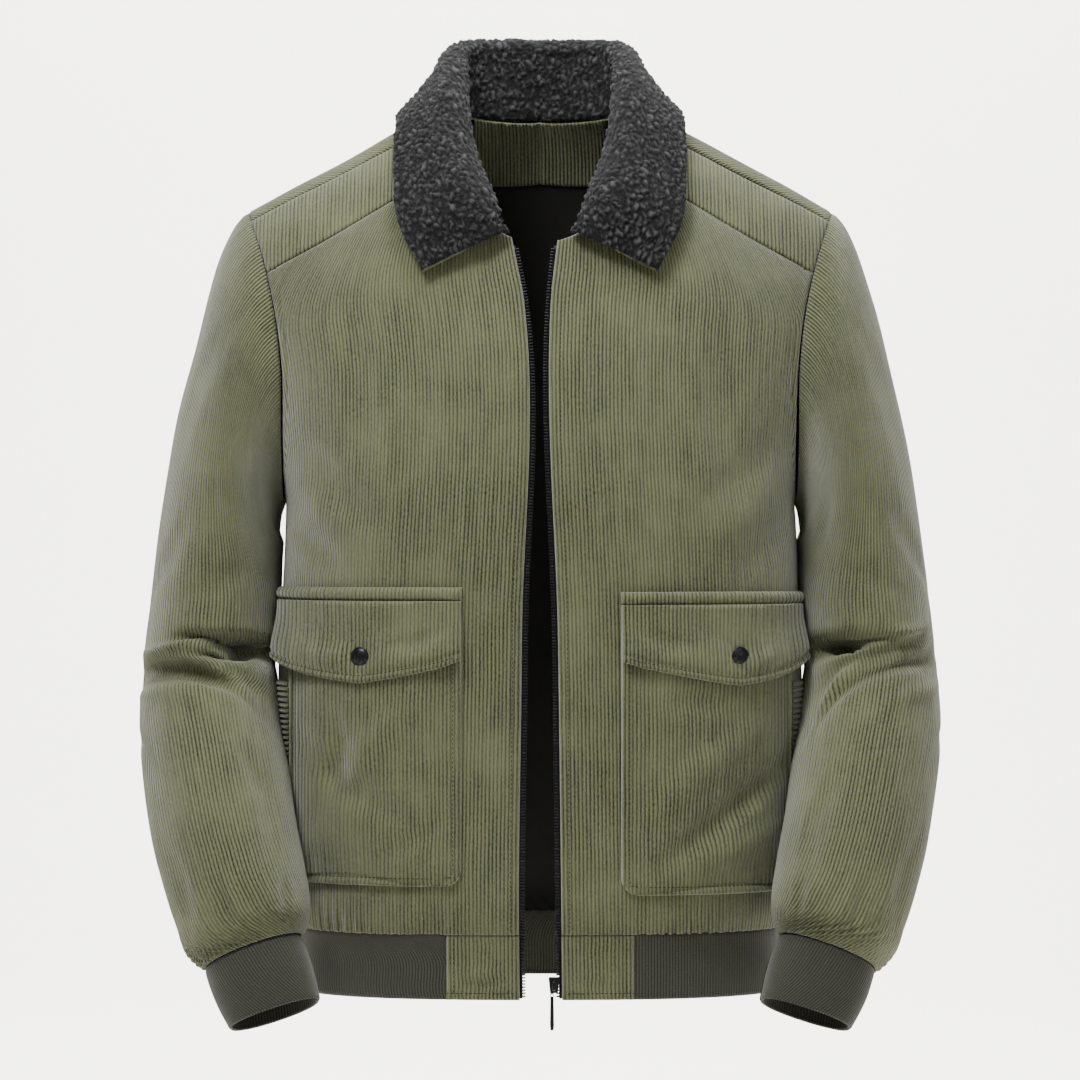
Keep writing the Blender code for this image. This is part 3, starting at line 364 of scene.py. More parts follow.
class Torso:
    """Level sections of the worn body, and the places where the panels meet."""

    HALVINGS = 40
    WIDEST_SHARE = 0.985       # of the depth that the armhole may take
    NECK_POWER = 1.3           # of the back's neck edge, from its middle to the high points

    @staticmethod
    def rise_of(height: Array | float) -> Array | float:
        """How far a nominal height is up from the armpit to the ridge."""
        return (height - ARMPIT) / -ARMPIT

    @staticmethod
    def height_of(rise: Array | float) -> Array | float:
        """Nominal height of a rise."""
        return ARMPIT * (1 - rise)

    @staticmethod
    def arm_edge(rise: Array | float) -> Array:
        """X of the armhole at a rise."""
        start, added, begin, bend = ARM_EDGE
        return start + added * np.maximum(0.0, (rise - begin) / (1 - begin)) ** bend

    @classmethod
    def section(cls, height: Array | float, face: Face) -> tuple[Array, Array, Array]:
        """Size of the level section at a nominal height.

        Args:
            height: nominal heights.
            face: front or back.

        Returns:
            Half width, depth, and the angle where the section meets the armhole.
        """
        height = np.asarray(height, float)
        low = np.minimum(height, ARMPIT)
        wide = smooth(TORSO, low, 1)
        deep = smooth(TORSO, low, 2 if face is Face.FRONT else 3)
        rise = np.clip(cls.rise_of(height), 0, 1)
        bend = CURL[face.value]
        depth = CHEST[face.value] * np.maximum(0.0, 1 - rise ** bend) ** (1 / bend)
        hole = SLEEVE_HOLE * np.sqrt(np.maximum(0.0, 1 - (2 * rise - 1) ** 2))
        share = np.where(depth > 0, np.minimum(cls.WIDEST_SHARE, hole / np.maximum(depth, TINY)),
                         cls.WIDEST_SHARE)
        last = np.arccos(share ** (ROUND / 2))
        upper = cls.arm_edge(rise) / np.maximum(np.sin(last), TINY) ** (2 / ROUND)
        below = height <= ARMPIT
        return (np.where(below, wide, upper), np.where(below, deep, depth),
                np.where(below, math.pi / 2, last))

    @classmethod
    def point(cls, x: Array | float, height: Array | float, face: Face) -> Array:
        """Point of the cloth at an x and a nominal height.

        Args:
            x: distance from the middle.
            height: nominal height.
            face: front or back.

        Returns:
            Points in millimetres.
        """
        half_width, depth, _ = cls.section(height, face)
        share = np.minimum(1.0, np.abs(x) / half_width)
        y = face.value * depth * (1 - share ** ROUND) ** (1 / ROUND)
        rise = cls.rise_of(height)
        z = np.where(np.asarray(height) <= ARMPIT, height,
                     ARMPIT + (smooth(RIDGE, np.abs(x), 1) - ARMPIT) * rise)
        return stack(x, y, z)

    @staticmethod
    def zip_edge(height: Array | float, side: Side) -> Array:
        """X of the zip's free edge, without its sign."""
        return smooth(ZIP_LINE, height, 1 if side is Side.RIGHT else 2)

    @classmethod
    def front_edge(cls, height: Array | float, side: Side) -> Array:
        """X of the corduroy's edge beside the zip, without its sign."""
        return cls.zip_edge(height, side) + CHAIN_WIDTH + TAPE_SHOWN

    @classmethod
    def column_x(cls, column: Array, height: Array, face: Face, inner: Array | float) -> Array:
        """X of columns of points.

        Args:
            column: 0 at the inner edge, COLUMNS at the side.
            height: nominal heights.
            face: front or back.
            inner: x of the inner edge.

        Returns:
            X without its sign.
        """
        third = smooth(PRINCESS, height, 1)
        half_width, _, last = cls.section(height, face)
        first = np.arcsin((third / half_width) ** (ROUND / 2))
        share = np.clip((column - NECK_COLUMNS) / (COLUMNS - NECK_COLUMNS), 0, 1)
        outer = half_width * np.sin(mix(first, last, share)) ** (2 / ROUND)
        near = mix(inner, third, np.asarray(column) / NECK_COLUMNS)
        return np.where(np.asarray(column) <= NECK_COLUMNS, near, outer)

    @classmethod
    def column_at(cls, x: Array | float, height: Array | float, side: Side) -> Array:
        """Column of the front that passes an x at a height.

        Args:
            x: distance from the middle, without its sign.
            height: nominal height.
            side: which side.

        Returns:
            Column numbers, found by halving.
        """
        x, height = np.broadcast_arrays(np.asarray(x, float), np.asarray(height, float))
        low, high = np.zeros(x.shape), np.full(x.shape, float(COLUMNS))
        inner = cls.front_edge(height, side)
        for _ in range(cls.HALVINGS):
            middle = (low + high) / 2
            short = cls.column_x(middle, height, Face.FRONT, inner) < x
            low, high = np.where(short, middle, low), np.where(short, high, middle)
        return (low + high) / 2

    @classmethod
    def lower(cls, column: Array, height: Array, face: Face, side: Side) -> Array:
        """Point of a front or of half the back at or below the armhole's middle.

        Args:
            column: column numbers.
            height: nominal heights.
            face: front or back.
            side: which side.

        Returns:
            Points in millimetres.
        """
        inner = cls.front_edge(height, side) if face is Face.FRONT else 0.0
        x = cls.column_x(column, height, face, inner)
        return cls.point(x, height, face) * (side.value, 1, 1)

    @classmethod
    def between(cls, bottom: tuple[Array, Array], top: tuple[Array, Array], share: Array,
                face: Face) -> Array:
        """Points between two lines, each given as share of the armhole's x and as rise.

        Args:
            bottom: the lower line.
            top: the upper line.
            share: 0 on the lower line, 1 on the upper one.
            face: front or back.

        Returns:
            Points on the wearer's left.
        """
        rise = mix(bottom[1], top[1], share)
        x = mix(bottom[0], top[0], share) * cls.arm_edge(rise)
        return cls.point(x, cls.height_of(rise), face)

    @classmethod
    def middle_place(cls, column: Array, face: Face, inner: float) -> tuple[Array, Array]:
        """Share and rise where a column passes the armhole's middle."""
        x = cls.column_x(column, cls.height_of(MIDDLE_RISE), face, inner)
        return x / cls.arm_edge(MIDDLE_RISE), np.full(np.shape(column), MIDDLE_RISE)

    @classmethod
    def neck_place(cls, angle: Array) -> tuple[Array, Array]:
        """Share and rise on the front neck edge; the angle is 0 in the middle."""
        x = NECK_HALF * np.sin(angle)
        z = -NECK_DROP * np.cos(angle)
        rise = (z - ARMPIT) / (smooth(RIDGE, x, 1) - ARMPIT)
        return x / cls.arm_edge(rise), rise

    @classmethod
    def yoke_place(cls, column: Array) -> tuple[Array, Array]:
        """Share and rise on the yoke seam."""
        share = (column - NECK_COLUMNS) / (COLUMNS - NECK_COLUMNS)
        x = mix(NECK_CORNER, cls.arm_edge(YOKE_RISE[1]), share)
        rise = mix(YOKE_RISE[0], YOKE_RISE[1], share)
        return x / cls.arm_edge(rise), rise

    @classmethod
    def front_top(cls, column: Array, side: Side) -> tuple[Array, Array]:
        """Front's upper edge: neck, then yoke seam.

        Args:
            column: column numbers.
            side: which side.

        Returns:
            Share and rise there.
        """
        first = math.asin(float(cls.front_edge(-112, side)) / NECK_HALF)
        last = math.asin(NECK_CORNER / NECK_HALF)
        neck = cls.neck_place(mix(first, last, np.minimum(column, NECK_COLUMNS) / NECK_COLUMNS))
        yoke = cls.yoke_place(np.maximum(column, NECK_COLUMNS))
        by_neck = column < NECK_COLUMNS
        return np.where(by_neck, neck[0], yoke[0]), np.where(by_neck, neck[1], yoke[1])

    @classmethod
    def ridge_place(cls, column: Array) -> tuple[Array, Array]:
        """Back's upper edge: its neck, then the shoulder ridge.

        Args:
            column: column numbers.

        Returns:
            Share and rise there.
        """
        near = np.minimum(column, NECK_COLUMNS) / NECK_COLUMNS
        neck_rise = mix(BACK_NECK_RISE, 1.0, near ** cls.NECK_POWER)
        far = np.maximum(column - NECK_COLUMNS, 0) / (COLUMNS - NECK_COLUMNS)
        top = cls.arm_edge(1.0)
        by_neck = column <= NECK_COLUMNS
        share = np.where(by_neck, NECK_HALF * near / cls.arm_edge(neck_rise),
                         mix(NECK_HALF, top, far) / top)
        return share, np.where(by_neck, neck_rise, 1.0)

    @classmethod
    def forward_place(cls, column: Array) -> tuple[Array, Array]:
        """Share and rise on the shoulder seam, in front of the ridge."""
        share = (column - NECK_COLUMNS) / (COLUMNS - NECK_COLUMNS)
        edge = cls.arm_edge(OVER_RISE)
        return mix(NECK_HALF - 0.7, edge, share) / edge, np.full(np.shape(column), OVER_RISE)


class SleeveForm:
    """Tube of a sleeve and of its cuff; angle 0 is outside and 90 in front."""

    @staticmethod
    def ring(table: Sequence[Sequence[float]], down: Array, angle: Array) -> tuple[Array, Array]:
        """Plain tube.

        Args:
            table: rows such as SLEEVE.
            down: millimetres down the arm.
            angle: radians.

        Returns:
            Centres and points.
        """
        outer_x, outer_z, inner_x, inner_z, middle_y, half_depth, pitch = (
            smooth(table, down, column) for column in range(1, 8))
        lean = np.radians(pitch)
        across = stack(outer_x - inner_x, 0.0, outer_z - inner_z) / 2
        centre = stack((outer_x + inner_x) / 2, middle_y, (outer_z + inner_z) / 2)
        forward = stack(0.0, -np.cos(lean), np.sin(lean)) * half_depth[..., None]
        bend = 2 / SLEEVE_ROUND
        point = (centre + across * signed_power(np.cos(angle), bend)[..., None]
                 + forward * signed_power(np.sin(angle), bend)[..., None])
        return centre, point

    @staticmethod
    def armhole(angle: Array) -> Array:
        """Point of the left armhole at an angle."""
        rise = (1 + np.cos(angle)) / 2
        edge, height = Torso.arm_edge(rise), Torso.height_of(rise)
        front = Torso.point(edge, height, Face.FRONT)
        back = Torso.point(edge, height, Face.BACK)
        return np.where((np.sin(angle) >= 0)[..., None], front, back)

    @staticmethod
    def fold_push(side: Side, down: Array, angle: Array) -> Array:
        """How deep the large folds press the cloth in.

        Args:
            side: which side.
            down: millimetres down the arm.
            angle: radians.

        Returns:
            Millimetres, less beside the body.
        """
        degrees = np.degrees(angle) % 360
        total = np.zeros(np.broadcast(down, angle).shape)
        for fold in SLEEVE_FOLDS:
            if fold.side is side:
                total += fold.push(down, degrees)
        inner_side = soft_step(degrees, 130, 172) * (1 - soft_step(degrees, 205, 245))
        return total * (1 - INNER_EASE * inner_side)

    @classmethod
    def sleeve(cls, side: Side, down: Array, angle: Array) -> tuple[Array, Array]:
        """Sleeve with its armhole and its large folds.

        Args:
            side: which side.
            down: millimetres down the arm.
            angle: radians.

        Returns:
            Centres and points.
        """
        centre, point = cls.ring(SLEEVE, down, angle)
        _, first = cls.ring(SLEEVE, np.zeros_like(down), angle)
        fade = np.maximum(0.0, 1 - down / SETTING) ** 2
        point = point + (cls.armhole(angle) - first) * fade[..., None]
        point = point + unit(centre - point) * cls.fold_push(side, down, angle)[..., None]
        mirror = (side.value, 1, 1)
        return centre * mirror, point * mirror


# ---- materials

def linear(code: str) -> tuple[float, float, float, float]:
    """Linear colour of an sRGB hex value."""
    parts = [int(code[place:place + 2], 16) / 255 for place in (0, 2, 4)]
    flat = [part / 12.92 if part <= 0.04045 else ((part + 0.055) / 1.055) ** 2.4 for part in parts]
    return flat[0], flat[1], flat[2], 1.0


class NodeTree:
    """Node tree of one new material."""

    def __init__(self, name: str, roughness: float, **settings: float) -> None:
        """Start the material with its shader's uniform values, with _ for a space."""
        self.material = bpy.data.materials.new(name)
        self.material.use_nodes = True
        self.tree = self.material.node_tree
        self.shader = self.tree.nodes["Principled BSDF"]
        self.shader.inputs["Roughness"].default_value = roughness
        for socket, value in settings.items():
            self.shader.inputs[socket.replace("_", " ")].default_value = value

    def add(self, kind: str, settings: dict[str, object] | None = None,
            links: dict[int | str, object] | None = None) -> bpy.types.Node:
        """Add a node.

        Args:
            kind: the node's type without its first words.
            settings: its own settings.
            links: its inputs, each a value, another node's socket, or a node for its first one.

        Returns:
            The node.
        """
        made = self.tree.nodes.new("ShaderNode" + kind)
        for key, value in (settings or {}).items():
            setattr(made, key, value)
        for key, value in (links or {}).items():
            if isinstance(value, bpy.types.Node):
                value = value.outputs[0]
            if isinstance(value, bpy.types.NodeSocket):
                self.tree.links.new(value, made.inputs[key])
            else:
                made.inputs[key].default_value = value
        return made

    def finish(self, colour: bpy.types.NodeSocket,
               height: bpy.types.NodeSocket | bpy.types.Node | None = None,
               distance: float = 0.0005, strength: float = 1.0) -> bpy.types.Material:
        """Link the colour and the relief to the shader.

        Args:
            colour: the base colour.
            height: the relief, 0 to about 1, or none.
            distance: metres that a height of 1 stands out.
            strength: share of the relief that shows.

        Returns:
            The material.
        """
        self.tree.links.new(colour, self.shader.inputs["Base Color"])
        if height is not None:
            bump = self.add("Bump", None, {"Height": height, "Distance": distance, "Strength": strength})
            self.tree.links.new(bump.outputs[0], self.shader.inputs["Normal"])
        return self.material


@dataclass(frozen=True)
class Corduroy:
    """Cotton corduroy, woven and cut: round pile ridges with narrow ground between them.

    The pile is matt with a faint sheen, and brushed places look a little lighter or darker. The narrow ground between
    the ridges is painted dark as painted shade.
    """

    name: str = "cotton_corduroy"
    ridge: str = "63674b"
    # painted shade: colour of the ground between the wales, as dark as the shade that falls there
    groove: str = "15170c"
    worn: str = "6b6f51"
    pitch_mm: float = 3.0
    fibre_mm: float = 0.8     # real pile is 0.1 mm thick, which is too fine to show
    sways_per_m: float = 28.0       # the wales sway about every 36 mm
    sway_mm: float = 1.2
    streaks_per_m: float = 330.0    # brushed streaks, about 3 mm apart
    patches_per_m: float = 17.0     # rubbed patches, about 60 mm across
    relief_mm: float = 0.9

    def build(self) -> bpy.types.Material:
        """Make the material on the piece's own UV map, in metres along the cloth."""
        nodes = NodeTree(self.name, 0.95, Sheen_Weight=0.25, Sheen_Roughness=0.45, Specular_IOR_Level=0.2)
        place = nodes.add("UVMap", {"uv_map": "UVMap"})
        sway = nodes.add("TexNoise", None, {"Vector": place, "Scale": self.sways_per_m, "Detail": 1.0})
        parts = nodes.add("SeparateXYZ", None, {0: place})
        turn = nodes.add("Math", {"operation": "MULTIPLY_ADD"}, {0: sway, 1: self.sway_mm * MM, 2: parts.outputs["X"]})
        phase = nodes.add("Math", {"operation": "MULTIPLY"}, {0: turn, 1: math.pi / (self.pitch_mm * MM)})
        wave = nodes.add("Math", {"operation": "SINE"}, {0: phase})
        size = nodes.add("Math", {"operation": "ABSOLUTE"}, {0: wave})
        wale = nodes.add("Math", {"operation": "POWER"}, {0: size, 1: 0.9})
        along = nodes.add("Mapping", None, {"Vector": place, "Scale": (1.0, 0.3, 1.0)})
        pile = nodes.add("TexNoise", None, {
            "Vector": along, "Scale": 1 / (self.fibre_mm * MM), "Detail": 2.0})
        thin = nodes.add("Mapping", None, {"Vector": place, "Scale": (1.0, 0.06, 1.0)})
        streak = nodes.add("TexNoise", None, {"Vector": thin, "Scale": self.streaks_per_m, "Detail": 2.0})
        where = nodes.add("TexCoord").outputs["Object"]
        patch = nodes.add("TexNoise", None, {
            "Vector": where, "Scale": self.patches_per_m, "Detail": 3.0, "Roughness": 0.6})
        lit = nodes.add("Math", {"operation": "MULTIPLY_ADD"}, {0: streak, 1: 0.9, 2: -0.45})
        fleck = nodes.add("Math", {"operation": "MULTIPLY_ADD"}, {0: pile, 1: 1.5, 2: -0.75})
        both = nodes.add("Math", {"operation": "ADD"}, {0: lit, 1: fleck})
        share = nodes.add("Math", {"operation": "ADD", "use_clamp": True}, {0: wale, 1: both})
        # mixes the grooves' painted shade into the ridges' colour along the wale wave
        cloth = nodes.add("Mix", {"data_type": "RGBA"}, {
            "Factor": share, 6: linear(self.groove), 7: linear(self.ridge)})
        rubbed = nodes.add("MapRange", None, {
            "Value": patch, "From Min": 0.42, "From Max": 0.72, "To Max": 0.55})
        colour = nodes.add("Mix", {"data_type": "RGBA"}, {
            "Factor": rubbed, 6: cloth.outputs[2], 7: linear(self.worn)})
        height = nodes.add("Math", {"operation": "MULTIPLY_ADD"}, {0: pile, 1: 0.35, 2: wale})
        return nodes.finish(colour.outputs[2], height, self.relief_mm * MM, 1.0)


@dataclass(frozen=True)
class RibKnit:
    """Ribbed cotton knit: soft narrow columns of loops, dull and slightly fuzzy, with painted shade darkening the
    grooves between them.
    """

    name: str = "rib_knit_cotton"
    ridge: str = "43443a"
    # painted shade: colour of the grooves between the ribs
    groove: str = "14150f"
    pitch_mm: float = 2.4
    loops_per_m: float = 900.0      # loops of 1.1 mm, coarser than the knit's own
    relief_mm: float = 0.4

    def build(self) -> bpy.types.Material:
        """Make the material on the piece's own UV map, in metres along the cloth."""
        nodes = NodeTree(self.name, 0.92, Sheen_Weight=0.15, Specular_IOR_Level=0.2)
        place = nodes.add("UVMap", {"uv_map": "UVMap"})
        parts = nodes.add("SeparateXYZ", None, {0: place})
        phase = nodes.add("Math", {"operation": "MULTIPLY"},
                          {0: parts.outputs["X"], 1: math.pi / (self.pitch_mm * MM)})
        wave = nodes.add("Math", {"operation": "SINE"}, {0: phase})
        rib = nodes.add("Math", {"operation": "ABSOLUTE"}, {0: wave})
        loops = nodes.add("TexNoise", None, {"Vector": place, "Scale": self.loops_per_m, "Detail": 2.0})
        share = nodes.add("Math", {"operation": "MULTIPLY_ADD"}, {0: loops, 1: 0.8, 2: -0.4})
        lit = nodes.add("Math", {"operation": "MULTIPLY_ADD", "use_clamp": True},
                        {0: rib, 1: 0.75, 2: share})
        # mixes the grooves' painted shade into the ribs' colour along the rib wave
        colour = nodes.add("Mix", {"data_type": "RGBA"}, {
            "Factor": lit, 6: linear(self.groove), 7: linear(self.ridge)})
        height = nodes.add("Math", {"operation": "MULTIPLY_ADD"}, {0: loops, 1: 0.5, 2: rib})
        return nodes.finish(colour.outputs[2], height, self.relief_mm * MM, 0.7)


@dataclass(frozen=True)
class CurlyFleece:
    """Knitted polyester fleece, brushed and tumbled into small curls, with painted shade darkening the gaps between
    them.
    """

    name: str = "curly_polyester_fleece"
    top: str = "454546"
    # painted shade: colour of the gaps between the curls
    deep: str = "040405"
    fibre_mm: float = 0.7     # real fibre is far thinner; drawn as coarse as it has to show

    def build(self) -> bpy.types.Material:
        """Make the material; the curls' height comes from the mesh's own attribute and darkens the gaps as painted
        shade.
        """
        nodes = NodeTree(self.name, 0.95, Sheen_Weight=0.08, Sheen_Roughness=0.6, Specular_IOR_Level=0.1)
        high = nodes.add("Attribute", {"attribute_name": "curl"}).outputs["Fac"]
        where = nodes.add("TexCoord").outputs["Object"]
        fibre = nodes.add("TexNoise", None, {
            "Vector": where, "Scale": 1 / (self.fibre_mm * MM), "Detail": 3.0, "Distortion": 0.8})
        spread = nodes.add("Math", {"operation": "MULTIPLY_ADD"}, {0: fibre, 1: 0.9, 2: -0.45})
        tops = nodes.add("Math", {"operation": "POWER"}, {0: high, 1: 2.0})
        share = nodes.add("Math", {"operation": "ADD", "use_clamp": True}, {0: tops, 1: spread})
        # low places take the painted shade of the gaps, curl tops the fleece's colour
        colour = nodes.add("Mix", {"data_type": "RGBA"}, {
            "Factor": share, 6: linear(self.deep), 7: linear(self.top)})
        return nodes.finish(colour.outputs[2], fibre, 0.0006, 0.8)


@dataclass(frozen=True)
class Thread:
    """Spun polyester sewing thread, twisted, with a slight gloss."""

    name: str = "polyester_thread"
    colour: str = "1c1d12"
    light: str = "2c2d20"
    plies_per_m: float = 1800.0     # plies of 0.6 mm, as coarse as they have to show

    def build(self) -> bpy.types.Material:
        """Make the material."""
        nodes = NodeTree(self.name, 0.9, Specular_IOR_Level=0.15)
        where = nodes.add("TexCoord").outputs["Object"]
        twist = nodes.add("TexNoise", None, {"Vector": where, "Scale": self.plies_per_m})
        colour = nodes.add("Mix", {"data_type": "RGBA"}, {
            "Factor": twist, 6: linear(self.colour), 7: linear(self.light)})
        return nodes.finish(colour.outputs[2], twist, 0.0002, 0.5)


@dataclass(frozen=True)
class WovenTape:
    """Woven polyester, dark and matt: fine herringbone of a zip's tape or a smooth lining."""

    name: str = "woven_polyester"
    light: str = "232325"
    dark: str = "0e0e10"
    thread_mm: float = 0.6

    def build(self) -> bpy.types.Material:
        """Make the material on Object coordinates."""
        nodes = NodeTree(self.name, 0.85, Specular_IOR_Level=0.3)
        where = nodes.add("TexCoord").outputs["Object"]
        weave = nodes.add("TexWave", {"bands_direction": "DIAGONAL"}, {
            "Vector": where, "Scale": 1 / (self.thread_mm * MM) / 3, "Distortion": 1.5})
        colour = nodes.add("Mix", {"data_type": "RGBA"}, {
            "Factor": weave.outputs["Fac"], 6: linear(self.dark), 7: linear(self.light)})
        return nodes.finish(colour.outputs[2], weave.outputs["Fac"], 0.0002, 0.4)


@dataclass(frozen=True)
class BlackedMetal:
    """Zinc alloy, die cast and coated black: dark, satin, with soft wear on its faces."""

    name: str = "black_coated_zinc"
    colour: str = "1b1b1d"
    worn: str = "38383a"
    roughness: float = 0.38
    marks_per_m: float = 420.0      # wear marks of about 2.4 mm

    def build(self) -> bpy.types.Material:
        """Make the material on Object coordinates."""
        nodes = NodeTree(self.name, self.roughness, Metallic=0.75)
        where = nodes.add("TexCoord").outputs["Object"]
        wear = nodes.add("TexNoise", None, {"Vector": where, "Scale": self.marks_per_m, "Detail": 3.0})
        share = nodes.add("MapRange", None, {"Value": wear, "From Min": 0.5, "From Max": 0.75})
        colour = nodes.add("Mix", {"data_type": "RGBA"}, {
            "Factor": share, 6: linear(self.colour), 7: linear(self.worn)})
        return nodes.finish(colour.outputs[2], wear, 0.0001, 0.25)


class Finish(Enum):
    """Finishes of the jacket; the value is the recipe."""

    CORDUROY = Corduroy()
    RIB = RibKnit()
    FLEECE = CurlyFleece()
    THREAD = Thread()
    TAPE = WovenTape()
    LINING = WovenTape(name="lining_polyester", light="1b1b16", dark="0d0d0a", thread_mm=0.9)
    METAL = BlackedMetal()


class Finishes:
    """Materials, each made once."""

    def __init__(self) -> None:
        """Start with none made."""
        self.made: dict[Finish, bpy.types.Material] = {}

    def get(self, finish: Finish) -> bpy.types.Material:
        """Material of a finish."""
        if finish not in self.made:
            self.made[finish] = finish.value.build()
        return self.made[finish]

    def lined(self) -> list[bpy.types.Material]:
        """Corduroy, with the dark lining for its inner face."""
        return [self.get(Finish.CORDUROY), self.get(Finish.LINING)]


# ---- meshes

def finish_mesh(shape: bmesh.types.BMesh, name: str,
                materials: Sequence[bpy.types.Material]) -> bpy.types.Object:
    """Turn a bmesh into an object with smooth faces.

    Args:
        shape: the mesh, in metres.
        name: the object's name.
        materials: its material slots.

    Returns:
        The linked object.
    """
    mesh = bpy.data.meshes.new(name)
    shape.to_mesh(mesh)
    shape.free()
    for entry in materials:
        mesh.materials.append(entry)
    mesh.shade_smooth()
    result = bpy.data.objects.new(name, mesh)
    bpy.context.scene.collection.objects.link(result)
    return result


def cloth_grid(name: str, points: Array, uv: Array, materials: Sequence[bpy.types.Material],
               closed: bool = False, flip: bool = False, values: Array | None = None) -> bpy.types.Object:
    """Make a grid of cloth from its points.

    Args:
        name: the object's name.
        points: rows by columns by 3, in millimetres, and where closed the last column repeats the first.
        uv: rows by columns by 2, in metres along the cloth.
        materials: outer and inner material.
        closed: whether the columns close to a tube.
        flip: whether the grid's own faces would point inwards.
        values: rows by columns, kept as the attribute "curl".

    Returns:
        The linked object, one layer thick.
    """
    if flip:
        points, uv = points[:, ::-1], uv[:, ::-1]
        values = None if values is None else values[:, ::-1]
    rows, columns = points.shape[:2]
    shape = bmesh.new()
    bmesh.ops.create_grid(shape, x_segments=columns - 1, y_segments=rows - 1, size=1.0)
    mesh = bpy.data.meshes.new(name)
    shape.to_mesh(mesh)
    shape.free()
    places = np.zeros(len(mesh.vertices) * 3)
    mesh.vertices.foreach_get("co", places)
    places = places.reshape(-1, 3)
    column = np.rint((places[:, 0] + 1) / 2 * (columns - 1)).astype(int)
    row = np.rint((places[:, 1] + 1) / 2 * (rows - 1)).astype(int)
    mesh.vertices.foreach_set("co", (points[row, column] * MM).ravel())
    if values is not None:
        kept = mesh.attributes.new("curl", "FLOAT", "POINT")
        kept.data.foreach_set("value", values[row, column].astype(float))
    layer = mesh.uv_layers.get("UVMap") or mesh.uv_layers.new(name="UVMap")
    corner = np.zeros(len(mesh.loops), int)
    mesh.loops.foreach_get("vertex_index", corner)
    layer.uv.foreach_set("vector", uv[row, column][corner].ravel())
    if closed:
        shape = bmesh.new()
        shape.from_mesh(mesh)
        bmesh.ops.remove_doubles(shape, verts=shape.verts, dist=1e-7)
        shape.to_mesh(mesh)
        shape.free()
    mesh.update()
    for entry in materials:
        mesh.materials.append(entry)
    mesh.shade_smooth()
    result = bpy.data.objects.new(name, mesh)
    bpy.context.scene.collection.objects.link(result)
    return result


def declare(piece: bpy.types.Object, node: str, body: str = "jacket") -> None:
    """Say what a piece rides on and which node it replaces, and report it.

    Args:
        piece: the finished piece.
        node: the CAD node in whose place it stands.
        body: the body that it moves with.
    """
    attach(piece, body)
    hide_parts(node)
    LOG.info("%s: %d faces", node, len(piece.data.polygons))


def give_wall(piece: bpy.types.Object, wall: float, inner_slot: int = 0) -> None:
    """Thicken a one-layer sheet inwards, in millimetres."""
    thick = piece.modifiers.new("wall", "SOLIDIFY")
    thick.thickness = wall * MM
    thick.offset = -1.0
    thick.material_offset = inner_slot


@dataclass(frozen=True)
class Crease:
    """Soft trough (positive depth) or ridge along a line of places in a panel's own plane."""

    line: tuple[tuple[float, float], ...]
    half: float
    depth: float

    def push(self, across: Array, up: Array) -> Array:
        """Depth at each place.

        Args:
            across: first coordinate of the panel's plane, in millimetres.
            up: second coordinate.

        Returns:
            Millimetres that the cloth goes in.
        """
        spots = np.array(self.line, float)
        steps = np.linalg.norm(np.diff(spots, axis=0), axis=1)
        total = steps.sum()
        best = np.full(np.shape(across), 1e9)
        place = np.zeros(np.shape(across))
        run = 0.0
        for first, last, length in zip(spots, spots[1:], steps):
            way = (last - first) / length
            along = (across - first[0]) * way[0] + (up - first[1]) * way[1]
            held = np.clip(along, 0, length)
            off = np.hypot(across - first[0] - way[0] * held, up - first[1] - way[1] * held)
            nearer = off < best
            place = np.where(nearer, run + held, place)
            best = np.minimum(best, off)
            run += length
        taper = np.minimum(1.0, np.minimum(place, total - place) / (0.4 * total) + 0.12)
        near = np.clip(best / (self.half * (0.6 + 0.4 * taper)), 0, 1)
        return self.depth * taper * (1 - near * near) ** 2


def creases(*rows: tuple[float, ...]) -> tuple[Crease, ...]:
    """Creases from rows of half width, depth, and the line's places, two numbers for each."""
    return tuple(Crease(tuple(zip(row[2::2], row[3::2])), row[0], row[1]) for row in rows)


def panel_heights(step: float) -> Array:
    """Nominal heights of a body panel's rows up to the armhole's middle.

    Args:
        step: distance of the rows, which stand closer together over the gathered hem seam.

    Returns:
        Heights in millimetres, upwards.
    """
    middle = float(Torso.height_of(MIDDLE_RISE))
    gathered = HEM_SEAM + 30
    return np.concatenate([np.linspace(HEM_SEAM, gathered, 16)[:-1],
                           np.linspace(gathered, middle, int((middle - gathered) / step))])


def crease_push(creases: Iterable[Crease], across: Array, up: Array) -> Array:
    """Sum of all creases' depths.

    Args:
        creases: the creases of a panel.
        across: first coordinate of the panel's plane.
        up: second coordinate.

    Returns:
        Millimetres that the cloth goes in.
    """
    total = np.zeros(np.broadcast(across, up).shape)
    for crease in creases:
        total = total + crease.push(across, up)
    return total


def hem_gathers(along: Array, above: Array, seed: float, depth: float = 1.7) -> Array:
    """Uneven puckers over a gathered seam.

    Args:
        along: millimetres along the seam.
        above: millimetres from the seam.
        seed: shifts the pattern.
        depth: height of the puckers at their deepest.

    Returns:
        Millimetres out of the cloth.
    """
    drift = 2.6 * np.sin(along / 31.0 + seed) + 1.9 * np.sin(along / 13.7 + 2.1 * seed)
    wave = np.sin(2 * math.pi * (along + drift) / 9.2)
    uneven = 0.62 + 0.38 * np.sin(along / 23.0 + 1.3 * seed)
    reach = 15.0 + 7.0 * np.sin(along / 17.0 + 0.7 * seed)
    rise = np.exp(-(np.maximum(above - 1.5, 0) / reach) ** 1.5) * soft_step(above, -1.0, 3.0)
    return depth * wave * uneven * rise


